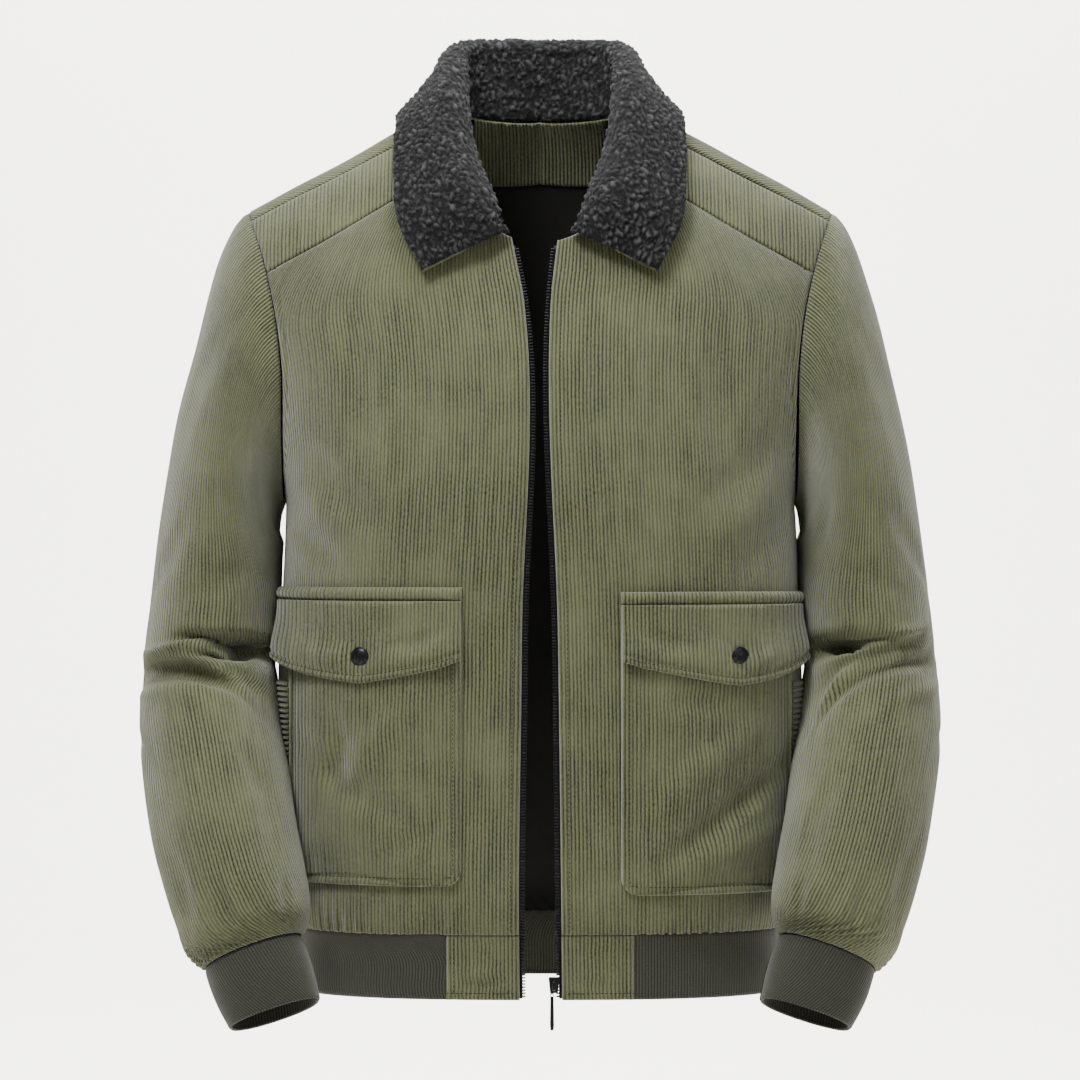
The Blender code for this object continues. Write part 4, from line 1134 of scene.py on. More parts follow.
def cloth_waves(where: Array, size: float, depth: float, seed: float) -> Array:
    """Very soft unevenness of cloth, smooth and the same each run.

    Args:
        where: rows by columns by 3 points in millimetres.
        size: length of the waves in millimetres.
        depth: most that they stand out.
        seed: shifts the pattern.

    Returns:
        Millimetres out of the cloth.
    """
    x, y, z = (where[..., axis] / size for axis in range(3))
    total = (np.sin(2.1 * x + 0.6 * z + seed) * np.cos(1.3 * z - 0.9 * y + 1.7 * seed)
             + 0.6 * np.sin(3.3 * z + 1.4 * x + 2.3 * seed) * np.cos(2.4 * x - y + seed))
    return depth * total / 1.6


@dataclass
class Sewn:
    """A piece of cloth on its way from a plain form to a dressed mesh.

    Attributes:
        name: name of the piece, the same as its node's.
        points: rows by columns by 3, in millimetres.
        flip: whether columns cross rows points inwards.
        closed: whether the last column repeats the first.
        uv: rows by columns by 2, in metres along the cloth.
        normals: outward directions of the plain form.
    """

    name: str
    points: Array
    flip: bool = False
    closed: bool = False
    uv: Array = field(init=False)
    normals: Array = field(init=False)

    @classmethod
    def of(cls, part: str, side: Side, points: Array, closed: bool = False) -> Sewn:
        """Piece of one side, whose grid runs the other way round on the right."""
        return cls(f"{part}_{side.label}", points, side is Side.RIGHT, closed)

    def __post_init__(self) -> None:
        """Keep the plain form's outward directions and its lengths along the cloth."""
        sign = -1.0 if self.flip else 1.0
        self.normals = grid_normals(self.points, self.closed) * sign
        self.uv = np.stack([run_lengths(self.points, 1), run_lengths(self.points, 0)], axis=-1) * MM

    def move(self, distance: Array | float) -> None:
        """Move the cloth along its own outward directions."""
        distance = np.broadcast_to(np.asarray(distance, float), self.points.shape[:2])
        self.points = self.points + self.normals * distance[..., None]

    def turn_edges(self, depth: float, width: float, sides: str) -> None:
        """Roll edges inwards, as cloth turned into a seam.

        Args:
            depth: how far in the edge itself goes.
            width: how far from the edge the roll starts, in millimetres.
            sides: letters of the edges: f and l for the first and last row, s and e for columns.
        """
        rows, columns = run_lengths(self.points, 0), run_lengths(self.points, 1)
        distances = {"f": rows, "l": rows[-1:] - rows, "s": columns, "e": columns[:, -1:] - columns}
        nearest = np.full(self.points.shape[:2], 1e9)
        for letter in sides:
            nearest = np.minimum(nearest, distances[letter])
        share = 1 - np.clip(nearest / width, 0, 1)
        self.move(-depth * share ** 2)

    def dress(self, materials: Sequence[bpy.types.Material], wall: float, slot: str,
              held: str, rests_on: Sequence[str], values: Array | None = None) -> None:
        """Args:
            materials: one material, or the outer and the inner one.
            wall: thickness in millimetres.
            slot: the record's material slot; not used.
            held: how the sheet is held; not used.
            rests_on: the pieces it is sewn to or lies on; not used.
            values: the attribute "curl".
        """
        piece = cloth_grid(self.name + "_cloth", self.points, self.uv, materials, self.closed,
                           self.flip, values)
        give_wall(piece, wall, len(materials) - 1)
        declare(piece, self.name)


@dataclass
class StitchBook:
    """Rows of machine stitches, each a short rounded thread lying on the cloth."""

    pitch: float = 3.6
    length: float = 2.5
    radius: float = 0.32
    raised: float = 0.3        # middle of the thread over the cloth, as a share of its radius
    look_ahead: float = 0.8    # millimetres to the point that gives a stitch its direction
    shape: bmesh.types.BMesh = field(default_factory=bmesh.new)
    count: int = 0

    def row(self, points: Array, normals: Array) -> None:
        """Add stitches along a line.

        Args:
            points: the line's points in millimetres.
            normals: outward directions there.
        """
        steps = np.linalg.norm(np.diff(points, axis=0), axis=1)
        run = np.concatenate([[0.0], np.cumsum(steps)])
        for place in np.arange(self.pitch / 2, run[-1], self.pitch):
            spot, ahead, out = (np.array([np.interp(at, run, source[:, axis]) for axis in range(3)])
                for at, source in ((place, points), (min(place + self.look_ahead, run[-1]), points),
                                   (place, normals)))
            along = ahead - spot
            if np.linalg.norm(along) < TINY:
                continue
            along, out = unit(along), unit(out)
            side = np.cross(out, along)
            turn = Matrix([[*row] for row in np.stack([along, side, out], axis=1)]).to_4x4()
            size = Matrix.Diagonal((self.length / 2, self.radius, self.radius, 1.0))
            place_at = Matrix.Translation(Vector(spot + out * self.radius * self.raised) * MM)
            bmesh.ops.create_uvsphere(self.shape, u_segments=6, v_segments=4, radius=MM,
                matrix=place_at @ turn @ size @ Matrix.Rotation(math.pi / 2, 4, "Y"))
            self.count += 1

    def finish(self, finishes: Finishes) -> bpy.types.Object:
        """Make the one piece that holds all rows."""
        piece = finish_mesh(self.shape, "stitching", [finishes.get(Finish.THREAD)])
        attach(piece, "jacket")
        LOG.info("stitching: %d stitches", self.count)
        return piece


# ---- sub-assemblies

@dataclass
class Fronts:
    """Front panels and yokes of both sides."""

    finishes: Finishes
    stitches: StitchBook
    step: float = 3.2
    chest: float = 100.0       # length from the armhole's middle to the upper edge, for the grid
    wall: float = 1.6
    strip: float = 8.0         # topstitched strip beside the armhole
    groove: float = 1.1        # depth of the strip's seam
    zip_column: float = 0.34   # column of the stitches beside the zip

    CREASES: ClassVar[dict[Side, tuple[Crease, ...]]] = {
        Side.RIGHT: creases(
            (15, 3.4, -196, -322, -176, -350, -150, -372),
            (17, -2.6, -198, -290, -168, -326, -128, -352),
            (16, 2.2, -190, -262, -160, -300, -124, -330),
            (22, 2.4, -150, -160, -138, -230, -142, -300),
            (28, 1.8, -96, -165, -100, -240, -92, -330),
            (22, 1.5, -60, -190, -54, -260, -60, -340),
            (5, 2.6, -90, -614, -84, -632, -94, -650),
            (4, 2.2, -83, -618, -79, -636, -87, -650),
            (4, 2.0, -75, -622, -73, -638, -79, -650),
            (4, 1.6, -64, -628, -64, -650),
            (16, 1.4, -44, -430, -40, -520, -46, -600),
            (10, 1.2, -30, -560, -36, -610, -32, -645),
        ),
        Side.LEFT: creases(
            (16, 3.2, 198, -312, 180, -344, 152, -374),
            (18, -2.4, 192, -276, 168, -316, 132, -350),
            (17, 2.0, 190, -246, 160, -290, 120, -320),
            (24, 2.3, 150, -165, 140, -240, 146, -310),
            (26, 1.8, 92, -170, 98, -250, 90, -340),
            (20, 1.4, 54, -190, 50, -270, 56, -350),
            (5, 2.0, 72, -622, 78, -650),
            (5, 2.0, 120, -626, 128, -650),
            (16, 1.4, 48, -440, 42, -530, 48, -600),
            (10, 1.2, 30, -570, 36, -620, 32, -648),
        ),
    }

    def surface(self, side: Side, column: Array, height: Array) -> tuple[Array, Array]:
        """Dressed point and outward direction of a front below the armhole's middle.

        Args:
            side: which side.
            column: columns of the panel.
            height: nominal heights, of the same shape.

        Returns:
            Points and unit directions, in millimetres.
        """
        point = Torso.lower(column, height, Face.FRONT, side)
        aside = Torso.lower(column - 0.02, height, Face.FRONT, side)
        above = Torso.lower(column, height + 0.5, Face.FRONT, side)
        normal = unit(np.cross(point - aside, above - point) * side.value)
        push = crease_push(self.CREASES[side], point[..., 0], point[..., 2])
        out = cloth_waves(point, 70.0, 1.0, 1.0 + side.value) - push
        return point + normal * out[..., None], normal

    def front(self, side: Side) -> None:
        """Front panel, from the hem seam to the neck and the yoke seam.

        Args:
            side: which side.
        """
        columns = np.linspace(0, COLUMNS, int(WAY_ROUND / self.step) + 1)
        heights = panel_heights(self.step)
        low = Torso.lower(columns[None, :], heights[:, None], Face.FRONT, side)
        inner = float(Torso.front_edge(Torso.height_of(MIDDLE_RISE), side))
        bottom = Torso.middle_place(columns, Face.FRONT, inner)
        top = Torso.front_top(columns, side)
        shares = np.linspace(0, 1, int(self.chest / self.step) + 1)[1:, None]
        high = Torso.between(bottom, top, shares, Face.FRONT) * (side.value, 1, 1)
        sewn = Sewn.of("front", side, np.concatenate([low, high]))
        plain = sewn.points
        sewn.move(-crease_push(self.CREASES[side], plain[..., 0], plain[..., 2]))
        sewn.move(cloth_waves(plain, 70.0, 1.0, 1.0 + side.value))
        along = run_lengths(plain, 1)
        fade = soft_step(along, 55.0, 80.0)
        sewn.move(hem_gathers(along, plain[..., 2] - HEM_SEAM, 3.0 * side.value) * fade)
        beside = np.clip(1 - np.abs(along[:, -1:] - along - self.strip) / 1.8, 0, 1)
        sewn.move(-self.groove * beside * soft_step(plain[..., 2], ARMPIT - 10, ARMPIT + 30))
        sewn.turn_edges(1.1, 2.6, "flse")
        sewn.dress(self.finishes.lined(), self.wall, "corduroy", "hung", [f"yoke_{side.label}", "back"])
        self.zip_stitches(side)

    def zip_stitches(self, side: Side) -> None:
        """Topstitching beside the zip."""
        heights = np.linspace(HEM_SEAM + 3, -170, 240)
        column = np.full(heights.shape, self.zip_column)
        points, normals = self.surface(side, column, heights)
        self.stitches.row(points, normals)

    def yoke(self, side: Side) -> None:
        """Front yoke between the yoke seam and the shoulder seam.

        Args:
            side: which side.
        """
        columns = np.linspace(NECK_COLUMNS, COLUMNS, 63)
        shares = np.linspace(0, 1, 26)[:, None]
        points = Torso.between(Torso.yoke_place(columns), Torso.forward_place(columns),
                                   shares, Face.FRONT) * (side.value, 1, 1)
        sewn = Sewn.of("yoke", side, points)
        sewn.uv = np.stack([np.abs(points[..., 0]), run_lengths(points, 0)], axis=-1) * MM
        sewn.turn_edges(1.2, 2.6, "flse")
        sewn.dress(self.finishes.lined(), self.wall, "corduroy", "hung", ["back"])

    def build(self) -> None:
        """Build both sides."""
        for side in Side:
            self.front(side)
            self.yoke(side)


@dataclass
class Back:
    """Back in one piece, over the shoulders to the seam in front of the ridge."""

    finishes: Finishes
    step: float = 4.2
    wall: float = 1.6
    crowding: float = 1.15     # power that brings the upper rows closer together

    CREASES: ClassVar[tuple[Crease, ...]] = creases(
        (20, 2.4, -192, -318, -150, -350, -96, -372),
        (22, -1.8, -196, -290, -140, -318, -70, -330),
        (22, 2.6, 194, -322, 148, -360, 88, -388),
        (18, -1.5, 190, -286, 150, -306, 96, -316),
        (26, 1.6, -120, -130, -126, -200, -118, -270),
        (28, 1.8, 112, -120, 122, -190, 116, -280),
        (30, 1.6, -60, -420, -90, -500, -84, -580),
        (32, 1.8, 38, -440, 60, -520, 52, -600),
        (24, 1.5, 150, -470, 138, -540, 144, -610),
        (22, 1.3, -160, -500, -150, -560, -156, -620),
        (6, 1.6, -100, -622, -108, -650),
        (6, 1.4, 20, -626, 24, -650),
        (7, 1.7, 92, -618, 86, -650),
    )

    def build(self) -> None:
        """Build the panel with its soft creases and its gathers over the band."""
        half = int(WAY_ROUND / self.step)
        columns = np.linspace(-COLUMNS, COLUMNS, 2 * half + 1)
        size, sign = np.abs(columns), np.where(columns < 0, -1.0, 1.0)
        mirror = stack(sign, 1.0, 1.0)
        heights = panel_heights(self.step)
        low = Torso.lower(size[None, :], heights[:, None], Face.BACK, Side.LEFT) * mirror
        bottom = Torso.middle_place(size, Face.BACK, 0.0)
        shares = 1 - (1 - np.linspace(0, 1, 46)[1:, None]) ** self.crowding
        high = Torso.between(bottom, Torso.ridge_place(size), shares, Face.BACK) * mirror
        over = self.over_shoulder(size, mirror)
        points = np.concatenate([low, high, over])
        sewn = Sewn("back", points, flip=True)
        across = run_lengths(points, 1)
        sewn.uv[..., 0] = (across - across[:, half:half + 1]) * MM
        sewn.move(-crease_push(self.CREASES, points[..., 0], points[..., 2]) * (points[..., 1] > 0))
        sewn.move(cloth_waves(points, 75.0, 1.2, 4.0))
        sewn.move(hem_gathers(across, points[..., 2] - HEM_SEAM, 1.7, 1.9))
        sewn.turn_edges(1.1, 2.6, "flse")
        sewn.dress(self.finishes.lined(), self.wall, "corduroy", "hung", ["yoke_left", "yoke_right"])

    @staticmethod
    def over_shoulder(size: Array, mirror: Array) -> Array:
        """Rows that run on over the ridge, which shrink to the neck edge between the shoulders.

        Args:
            size: column numbers without their signs.
            mirror: signs of the columns.

        Returns:
            Rows of points.
        """
        start, end = Torso.ridge_place(size), Torso.forward_place(np.maximum(size, NECK_COLUMNS))
        rows = []
        for share in np.linspace(0, 1, 9)[1:]:
            rise = mix(1.0, OVER_RISE, share)
            place = mix(start[0], end[0], share)
            front = Torso.point(place * Torso.arm_edge(rise),
                                    np.full(size.shape, Torso.height_of(rise)), Face.FRONT)
            neck = Torso.between(Torso.middle_place(size, Face.BACK, 0.0), start,
                                     np.full(size.shape, 1.0 + 0.0002 * share), Face.BACK)
            rows.append(np.where((size >= NECK_COLUMNS)[:, None], front, neck) * mirror)
        return np.array(rows)


@dataclass
class Sleeves:
    """Both sleeves with their elbow folds, and their rib knit cuffs."""

    finishes: Finishes
    wall: float = 1.6
    around: int = 128
    rings: int = 170
    gathered: float = 16.0     # length of the closer rings over the cuff
    lean: float = 4.2          # how far the inner side stands out to the body
    elbow_lean: float = 2.2    # what is added beside the elbow
    inner_degrees: float = 34.0

    # places are millimetres round the arm from its front, and down it
    CREASES: ClassVar[dict[Side, tuple[Crease, ...]]] = {
        Side.RIGHT: creases(
            (8, -5.0, -84, 364, -50, 366, -10, 364, 30, 356, 60, 346),
            (11, 12.5, -6, 377, 24, 379, 56, 375),
            (7, -5.0, -8, 386, 16, 398, 38, 414, 56, 434),
            (13, 6.6, -82, 378, -46, 384, -6, 396, 34, 420),
            (12, -2.4, -78, 402, -50, 408, -10, 424, 20, 448),
            (12, 2.2, -96, 430, -66, 456, -50, 492),
            (10, 2.4, 10, 398, 44, 420, 70, 446),
            (13, 2.2, 20, 452, 40, 500, 30, 556),
            (11, 2.4, -60, 520, -46, 560, -50, 596),
            (8, -1.6, -36, 548, -30, 596),
            (7, 2.6, -14, 560, -8, 602),
            (6, 1.8, 10, 572, 12, 604),
            (7, 2.6, 40, 562, 34, 602),
            (18, 2.2, 60, 60, 50, 120, 58, 190),
            (20, 2.0, -50, 30, -66, 110, -60, 210),
            (16, 2.6, -22, 226, -44, 282, -84, 326),
            (16, 1.8, 30, 240, 6, 290, -30, 326),
            (12, 3.2, 150, 340, 190, 362, 240, 366),
            (13, 3.0, 150, 396, 200, 410, 250, 402),
            (12, -2.4, 146, 368, 196, 386, 246, 384),
            (20, 2.0, 170, 90, 180, 170, 172, 250),
            (16, 2.2, 200, 470, 210, 530, 204, 590),
        ),
        Side.LEFT: creases(
            (8, -4.2, -74, 336, -30, 346, 14, 350, 62, 346),
            (11, 12.0, 6, 367, 34, 369, 62, 365),
            (7, -4.8, 6, 378, 30, 400, 48, 428, 58, 454),
            (14, 6.6, -82, 360, -58, 370, -28, 384, 4, 398, 40, 422),
            (12, -2.6, -80, 390, -52, 404, -20, 424, 10, 450),
            (12, 2.0, -96, 424, -70, 452, -54, 490),
            (10, 2.6, 6, 396, 40, 422, 64, 452),
            (14, 2.2, 16, 470, 34, 520, 28, 566),
            (12, 2.2, -62, 508, -50, 552, -54, 594),
            (8, -1.6, -38, 544, -34, 596),
            (7, 2.4, -18, 560, -12, 602),
            (6, 1.8, 8, 570, 8, 604),
            (7, 2.4, 34, 560, 30, 602),
            (18, 2.2, 58, 66, 48, 130, 54, 200),
            (20, 2.0, -54, 36, -68, 120, -58, 220),
            (16, 2.6, -26, 216, -50, 276, -86, 318),
            (16, 1.8, 26, 236, 0, 286, -34, 320),
            (12, 3.0, 152, 346, 192, 366, 236, 372),
            (13, 2.8, 156, 404, 204, 416, 246, 410),
            (12, -2.2, 150, 374, 198, 390, 240, 392),
            (20, 2.0, 168, 100, 178, 180, 170, 260),
            (16, 2.2, 196, 480, 208, 540, 202, 592),
        ),
    }

    def sleeve(self, side: Side) -> None:
        """One sleeve as a tube from the armhole to the cuff.

        Args:
            side: which side.
        """
        angle = np.linspace(0, 2 * math.pi, self.around + 1)[None, :] + math.pi
        close = SLEEVE_LENGTH - self.gathered
        down = np.concatenate([np.linspace(0, close, self.rings - 16)[:-1],
                               np.linspace(close, SLEEVE_LENGTH, 17)])[:, None]
        angle, down = np.broadcast_arrays(angle, down)
        _, points = SleeveForm.sleeve(side, down, angle)
        sewn = Sewn.of("sleeve", side, points, closed=True)
        around = run_lengths(points, 1)
        quarter = int(self.around / 4)
        outer = around[:, 2 * quarter:2 * quarter + 1]
        front = around - around[:, 3 * quarter:3 * quarter + 1]
        turn = around[:, -1:]
        sewn.uv = np.stack([around - outer, down], axis=-1) * MM
        folds = self.CREASES[side]
        sewn.move(-crease_push(folds, front, down) - crease_push(folds, front + turn, down))
        sewn.move(self.stand_out(down, np.degrees(angle - math.pi) % 360))
        seam = soft_step(down, 0.0, 60.0)
        sewn.move(cloth_waves(points, 62.0, 1.2, 2.0 * side.value) * seam)
        taper = soft_step(around, 0.0, 24.0) * soft_step(turn - around, 0.0, 24.0)
        sewn.move(hem_gathers(around, SLEEVE_LENGTH - down, 2.0 + side.value, 2.1) * taper)
        sewn.turn_edges(1.3, 3.0, "fl")
        sewn.dress(self.finishes.lined(), self.wall, "corduroy", "hung", ["back", f"front_{side.label}"])

    def stand_out(self, down: Array, degrees: Array) -> Array:
        """How far the inner side stands out towards the body.

        Args:
            down: millimetres down the arm.
            degrees: angles round the arm from its inner side.

        Returns:
            Millimetres out of the cloth.
        """
        near = (np.exp(-(degrees / self.inner_degrees) ** 2)
                + np.exp(-((360 - degrees) / self.inner_degrees) ** 2))
        lean = self.lean * soft_step(down, 70.0, 110.0) * (1 - soft_step(down, 430.0, 500.0))
        added = soft_step(down, 320.0, 360.0) * (1 - soft_step(down, 400.0, 450.0))
        return (lean + self.elbow_lean * added) * np.minimum(near, 1.0)

    def cuff(self, side: Side) -> None:
        """Rib knit cuff, doubled, with a rounded end.

        Args:
            side: which side.
        """
        angle = np.linspace(0, 2 * math.pi, 161)[None, :] + math.pi
        down = np.linspace(0, CUFF_LENGTH, 33)[:, None]
        angle, down = np.broadcast_arrays(angle, down)
        _, points = SleeveForm.ring(CUFF, down, angle)
        points = points * (side.value, 1, 1)
        sewn = Sewn.of("cuff", side, points, closed=True)
        around = run_lengths(points, 1)
        sewn.uv = np.stack([around, down], axis=-1) * MM
        soft = 0.8 * np.sin(down / CUFF_LENGTH * math.pi) + 0.5 * np.sin(
            around / 21.0 + side.value) * soft_step(down, 4.0, 26.0)
        sewn.move(soft)
        sewn.turn_edges(1.2, 3.4, "f")
        sewn.turn_edges(0.9, 2.2, "l")
        sewn.dress([self.finishes.get(Finish.RIB)], 2.2, "rib_knit", "stretched", [f"sleeve_{side.label}"])

    def build(self) -> None:
        """Build both arms."""
        for side in Side:
            self.sleeve(side)
            self.cuff(side)


@dataclass
class Hem:
    """Rib knit band, and the corduroy tabs at its ends."""

    finishes: Finishes
    stitches: StitchBook
    tucked: float = 0.3       # columns that the band runs on behind a tab
    lapped: float = 1.6       # millimetres that its top runs up behind the body
    pulled: float = 0.35      # how much a dent in a tab pulls the wales aside

    def band(self) -> None:
        """Band from one tab round the back to the other."""
        front = np.linspace(NECK_COLUMNS - self.tucked, COLUMNS, 66)
        round_back = np.linspace(-COLUMNS, COLUMNS, 175)
        heights = np.linspace(HEM_EDGE, HEM_SEAM + self.lapped, 24)[:, None]
        left = Torso.lower(front[None, :], heights, Face.FRONT, Side.LEFT)
        size = np.abs(round_back)
        sign = np.where(round_back < 0, 1.0, -1.0)
        back = Torso.lower(size[None, :], heights, Face.BACK, Side.LEFT) * stack(sign, 1.0, 1.0)
        right = Torso.lower(front[None, ::-1], heights, Face.FRONT, Side.RIGHT)
        points = np.concatenate([left[:, :-1], back, right[:, 1:]], axis=1)
        sewn = Sewn("hem_band", points)
        along = run_lengths(points, 1)
        up = (points[..., 2] - HEM_EDGE) / (HEM_SEAM - HEM_EDGE)
        end = np.minimum(along, along[:, -1:] - along)
        shown = soft_step(end, 5.0, 16.0)
        sewn.move(shown * (0.9 * np.sin(up * math.pi) + 0.4 * np.sin(along / 33.0) * up)
                  - 1.9 * (1 - soft_step(end, 3.0, 9.0)))
        sewn.turn_edges(1.4, 3.2, "l")
        sewn.turn_edges(0.9, 2.2, "f")
        sewn.dress([self.finishes.get(Finish.RIB)], 2.0,
                   "rib_knit", "stretched", ["back", "front_left", "front_right"])

    DENTS: ClassVar[dict[Side, tuple[Crease, ...]]] = {
        Side.RIGHT: creases(
            (8, 2.6, 12, 16, 30, 9, 48, 13),
            (8, -1.4, 10, 26, 30, 20, 50, 25),
            (8, 1.4, 18, 40, 36, 43),
        ),
        Side.LEFT: creases(
            (8, 1.6, 12, 13, 30, 9, 46, 12),
            (9, 0.9, 16, 38, 40, 34),
        ),
    }

    def tab(self, side: Side) -> None:
        """Corduroy tab, stitched near its edges.

        Args:
            side: which side.
        """
        columns = np.linspace(0, NECK_COLUMNS, 30)[None, :]
        heights = np.linspace(HEM_EDGE, HEM_SEAM, 30)[:, None]
        points = Torso.lower(columns, heights, Face.FRONT, side)
        sewn = Sewn.of("hem_tab", side, points)
        along, up = run_lengths(points, 1), points[..., 2] - HEM_EDGE
        push = crease_push(self.DENTS[side], along, up)
        sewn.move(0.7 - push)
        sewn.uv[..., 0] += self.pulled * push * MM
        seam = np.minimum(np.abs(up - 4.2), np.abs(along[:, -1:] - along - 6.2))
        sewn.move(-1.2 * np.clip(1 - seam / 2.0, 0, 1))
        sewn.turn_edges(1.1, 2.2, "flse")
        sewn.dress(self.finishes.lined(), 1.8, "corduroy", "hung", [f"front_{side.label}"])
        foot, outer = 3, sewn.points.shape[1] - 4
        self.stitches.row(sewn.points[foot, 2:], sewn.normals[foot, 2:])
        self.stitches.row(sewn.points[foot:-1, outer], sewn.normals[foot:-1, outer])

    def build(self) -> None:
        """Build the band and both tabs."""
        self.band()
        for side in Side:
            self.tab(side)


@dataclass
class Pockets:
    """Patch pockets, each with a flap, a welt, a ribbed trim and a snap."""

    finishes: Finishes
    stitches: StitchBook
    fronts: Fronts
    inset: float = 7.5         # stitch line inside a patch's edge
    flap_inset: float = 6.5    # stitch line over a flap's lower edge
    groove_half: float = 2.2   # half width of the groove that a stitch line pulls in
    pulled: float = 0.3        # how much a fold in a patch pulls the wales aside

    PATCH_FOLDS: ClassVar[dict[Side, tuple[Crease, ...]]] = {
        Side.RIGHT: creases(
            (14, 3.6, -160, -475, -150, -510, -168, -555),
            (18, 3.2, -184, -496, -144, -536, -104, -560),
            (18, -2.6, -92, -466, -128, -500, -164, -544),
            (13, 2.0, -130, -592, -92, -576, -70, -556),
        ),
        Side.LEFT: creases(
            (16, 5.6, 82, -604, 128, -568, 176, -528, 200, -508),
            (19, -3.0, 76, -566, 120, -526, 172, -484),
            (14, -2.2, 104, -610, 150, -586, 190, -560),
            (12, 2.2, 86, -476, 116, -468, 150, -476),
        ),
    }
    # places are millimetres along the flap's foot and up from it
    FLAP_FOLDS: ClassVar[tuple[Crease, ...]] = creases(
        (11, 2.2, 12, 30, 34, 22, 60, 26),
        (10, -1.8, 84, 24, 108, 16, 128, 22),
        (11, 1.8, 66, 42, 104, 34),
    )
    # radius and height of a snap cap's outline, from its middle over the rolled rim to its back
    CAP: ClassVar[tuple[tuple[float, float], ...]] = (
        (0.0, 3.0), (2.6, 2.8), (4.9, 2.2), (6.2, 1.5), (6.7, 1.05), (7.1, 1.2),
        (7.5, 1.0), (7.7, 0.45), (7.4, -0.2), (6.0, -0.6), (0.0, -0.6),
    )

    def laid(self, part: str, side: Side, edges: tuple[Array | float, Array | float],
             heights: Array, count: int) -> Sewn:
        """Plain piece that lies on a front between two edges, its wales upright.

        Args:
            part: first words of the node's name.
            side: which side.
            edges: x of the inner and of the outer edge at each height.
            heights: heights of its rows.
            count: number of its columns.

        Returns:
            The piece, still on the front's own surface.
        """
        inner, outer = (Torso.column_at(x, heights, side) for x in edges)
        columns = mix(inner[:, None], outer[:, None], np.linspace(0, 1, count)[None, :])
        points, _ = self.fronts.surface(side, columns, np.broadcast_to(heights[:, None], columns.shape))
        sewn = Sewn.of(part, side, points)
        sewn.uv[..., 0] = np.abs(points[..., 0]) * MM
        return sewn

    def patch(self, plan: PocketPlan) -> None:
        """Patch, soft in its middle, sewn down along its edges.

        Args:
            plan: the pocket's places.
        """
        side, bottom = plan.side, plan.bottom
        top = plan.flap_top - 0.5
        heights = np.concatenate([np.linspace(bottom, bottom + PATCH_CORNER, 12)[:-1],
                                  np.linspace(bottom + PATCH_CORNER, top, 62)])
        above = np.clip(heights - bottom, 0, PATCH_CORNER)
        pull = PATCH_CORNER - np.sqrt(PATCH_CORNER ** 2 - (PATCH_CORNER - above) ** 2)
        edges = (plan.inner + pull, PATCH_OUTER - pull * 0.4)
        sewn = self.laid("pocket_patch", side, edges, heights, 60)
        points = sewn.points
        along, up = run_lengths(points, 1), run_lengths(points, 0)
        edge = np.minimum(np.minimum(along, along[:, -1:] - along), up)
        lip = np.sin(np.clip(edge / self.inset, 0, 1) * math.pi)
        sewn.move(3.3 + 3.0 * soft_step(edge, 8.0, 40.0) + 0.9 * lip)
        push = crease_push(self.PATCH_FOLDS[side], points[..., 0], points[..., 2])
        push = push * soft_step(edge, 4.0, 16.0)
        sewn.move(-push)
        sewn.uv[..., 0] += self.pulled * push * MM
        sewn.move(-1.3 * np.clip(1 - np.abs(edge - self.inset) / self.groove_half, 0, 1))
        sewn.turn_edges(1.6, 1.4, "f")
        sewn.turn_edges(1.0, 3.0, "se")
        sewn.dress([self.finishes.get(Finish.CORDUROY)], 1.0, "corduroy", "laid", [f"front_{side.label}"])
        self.edge_rows(sewn)

    def edge_rows(self, sewn: Sewn) -> None:
        """Stitch line down a patch's inner edge and along its foot."""
        along, up = run_lengths(sewn.points, 1), run_lengths(sewn.points, 0)
        line, ways = [], []
        rows, columns = sewn.points.shape[:2]
        foot = int(np.argmin(np.abs(up[:, columns // 2] - self.inset)))
        for row in range(rows - 1, foot, -1):
            place = int(np.argmin(np.abs(along[row] - self.inset)))
            line.append(sewn.points[row, place])
            ways.append(sewn.normals[row, place])
        for place in range(8, columns - 3):
            line.append(sewn.points[foot, place])
            ways.append(sewn.normals[foot, place])
        self.stitches.row(np.array(line), np.array(ways))

    def flap(self, plan: PocketPlan) -> None:
        """Flap whose lower edge runs down to a point, with a turned and stitched edge.

        Args:
            plan: the pocket's places.
        """
        side, inner, corner = plan.side, plan.inner, plan.corner
        point_x, point_z = plan.tip
        first, tip, last = (float(Torso.column_at(x, z, side)) for x, z in (
            (inner, corner), (point_x, point_z), (FLAP_OUTER, corner)))
        spread = np.linspace(0, 1, 66)
        column = mix(first, last, spread)
        share = np.where(column < tip, (column - first) / (tip - first), (last - column) / (last - tip))
        softened = (share + np.sin(share * math.pi / 2)) / 2
        foot = mix(corner, point_z, softened)
        levels = np.linspace(0, 1, 34)[:, None]
        heights = mix(foot[None, :], plan.flap_top, levels)
        left = Torso.column_at(inner, heights, side)
        right = Torso.column_at(FLAP_OUTER, heights, side)
        columns = mix(left, right, spread[None, :])
        points, _ = self.fronts.surface(side, columns, heights)
        sewn = Sewn.of("pocket_flap", side, points)
        sewn.uv[..., 0] = np.abs(points[..., 0]) * MM
        along, up = run_lengths(points, 1), run_lengths(points, 0)
        edge = np.minimum(np.minimum(along, along[:, -1:] - along), up)
        down = 1 - soft_step(up, 0.0, 44.0)
        sewn.move(5.0 + 5.8 * down + 1.2 * soft_step(edge, 5.0, 20.0))
        sewn.move(-1.4 * np.clip(1 - np.abs(up - self.flap_inset) / self.groove_half, 0, 1))
        sewn.move(-crease_push(self.FLAP_FOLDS, along, up))
        snap = np.hypot(points[..., 0] - side.value * (point_x - 1), points[..., 2] - SNAP_HEIGHT)
        sewn.move(-1.6 * (1 - soft_step(snap, 5.0, 17.0)))
        sewn.turn_edges(1.8, 1.8, "f")
        sewn.turn_edges(0.9, 2.4, "se")
